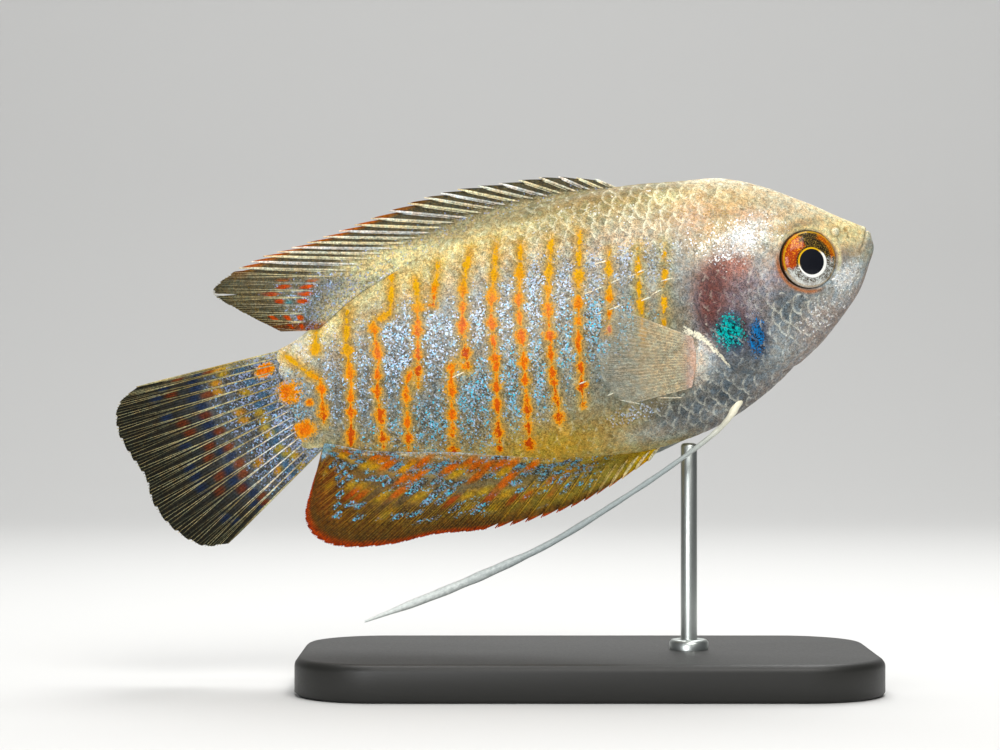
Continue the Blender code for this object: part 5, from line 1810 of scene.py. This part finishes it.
def turned(name, profile, bottom, look):
    """A lathe shape round the rod's line, from heights above its bottom and radii."""
    turns = np.linspace(0, 2 * math.pi, 40, endpoint=False)
    rings = [[(rod_at[0] + r * math.cos(a), rod_at[1] + r * math.sin(a), bottom + z) for a in turns]
             for z, r in profile]
    return stack(name, rings, look)


base_look = plain_material("base_lacquer", "soot", 0.45, 0.4, 0.0, 0.25)
steel_look = plain_material("rod_steel", "silver", 0.85, 0.26, 1.0, 0.1, 0.4)
base_rings = [rounded_outline(FOOT_INSET, 0.0), rounded_outline(0.0, FOOT_INSET)]
for k in range(7):
    a = k / 6 * math.pi / 2
    height = BASE_HEIGHT - BASE_EDGE * (1 - math.sin(a))
    base_rings.append(rounded_outline(BASE_EDGE * (1 - math.cos(a)), height))
base = stack("stand_base_dressed", base_rings, base_look)
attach(base, "root")
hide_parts("stand_base")
rod_length = float(rod_at[2]) - ROD_GAP - ROD_FOOT
rod_profile = [(0.0, ROD_RADIUS), (rod_length - ROD_NOSE, ROD_RADIUS),
               (rod_length - 0.08, ROD_RADIUS * 0.85), (rod_length, ROD_RADIUS * 0.5)]
rod = turned("stand_rod_dressed", rod_profile, ROD_FOOT, steel_look)
collar = turned("stand_collar", COLLAR, BASE_HEIGHT, steel_look)
for piece in (rod, collar):
    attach(piece, "root")
    report(piece)
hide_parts("stand_rod")

# %% [markdown]
# The studio: a pale sweep that is floor and backdrop in one, a broad soft light above and in front, a
# weaker one from the other side, and a narrow one behind for the rim along the back. The camera looks
# level at the fish's right side, as the photographer did.

# %% Floor, light and camera
def make_sweep():
    """A pale floor that curves up into a backdrop."""
    run = [(-0.9, 0.0), (0.3, 0.0)]
    run += [(0.3 + 0.25 * math.sin(a), 0.25 * (1 - math.cos(a))) for a in np.linspace(0.1, math.pi / 2, 14)]
    run += [(0.55, 1.2)]
    points = [(x, y, z) for y, z in run for x in (-1.4, 1.4)]
    mesh = bpy.data.meshes.new("sweep")
    faces = [(2 * k, 2 * k + 1, 2 * k + 3, 2 * k + 2) for k in range(len(run) - 1)]
    mesh.from_pydata(points, [], faces)
    mesh.shade_smooth()
    made = add_object("sweep", mesh)
    material, tree, shader, _ = new_material("sweep_paper")
    feed(tree, shader, Base_Color=(0.6, 0.6, 0.59, 1), Roughness=0.85)
    mesh.materials.append(material)


def soft_light(name, place, aim, size, power, colour):
    """A square soft light at a place, turned to its aim."""
    lamp = bpy.data.lights.new(name, "AREA")
    lamp.shape, lamp.size, lamp.energy, lamp.color = "SQUARE", size, power, colour
    made = add_object(name, lamp)
    made.location = place
    made.rotation_euler = (Vector(aim) - Vector(place)).to_track_quat("-Z", "Y").to_euler()


AIM = (-0.0085, 0.0, 0.0303)
CAMERA_DISTANCE = 0.2706
make_sweep()
soft_light("key", (0.08, -0.30, 0.34), AIM, 0.24, 1.25, (1.0, 0.98, 0.95))
soft_light("fill", (-0.12, -0.36, 0.075), AIM, 0.13, 0.6, (0.97, 0.98, 1.0))
soft_light("rim", (0.02, 0.12, 0.26), AIM, 0.16, 0.6, (1.0, 1.0, 1.0))
soft_light("backdrop", (0.0, 0.12, 0.7), (0.0, 0.5, 0.15), 0.5, 3.2, (1.0, 1.0, 1.0))
world = bpy.data.worlds.new("studio")
world.use_nodes = True
world.node_tree.nodes["Background"].inputs["Color"].default_value = (0.9, 0.93, 0.97, 1)
world.node_tree.nodes["Background"].inputs["Strength"].default_value = 0.12
bpy.context.scene.world = world
bpy.context.scene.view_settings.view_transform = "Standard"
lens = bpy.data.cameras.new("camera")
lens.lens, lens.sensor_width, lens.clip_start = 100, 36, 0.01
camera = add_object("camera", lens)
camera.location = (AIM[0], AIM[1] - CAMERA_DISTANCE, AIM[2])
camera.rotation_euler = (math.pi / 2, 0, 0)
bpy.context.scene.camera = camera
print("the camera stands", CAMERA_DISTANCE / MM, "mm from the fish")
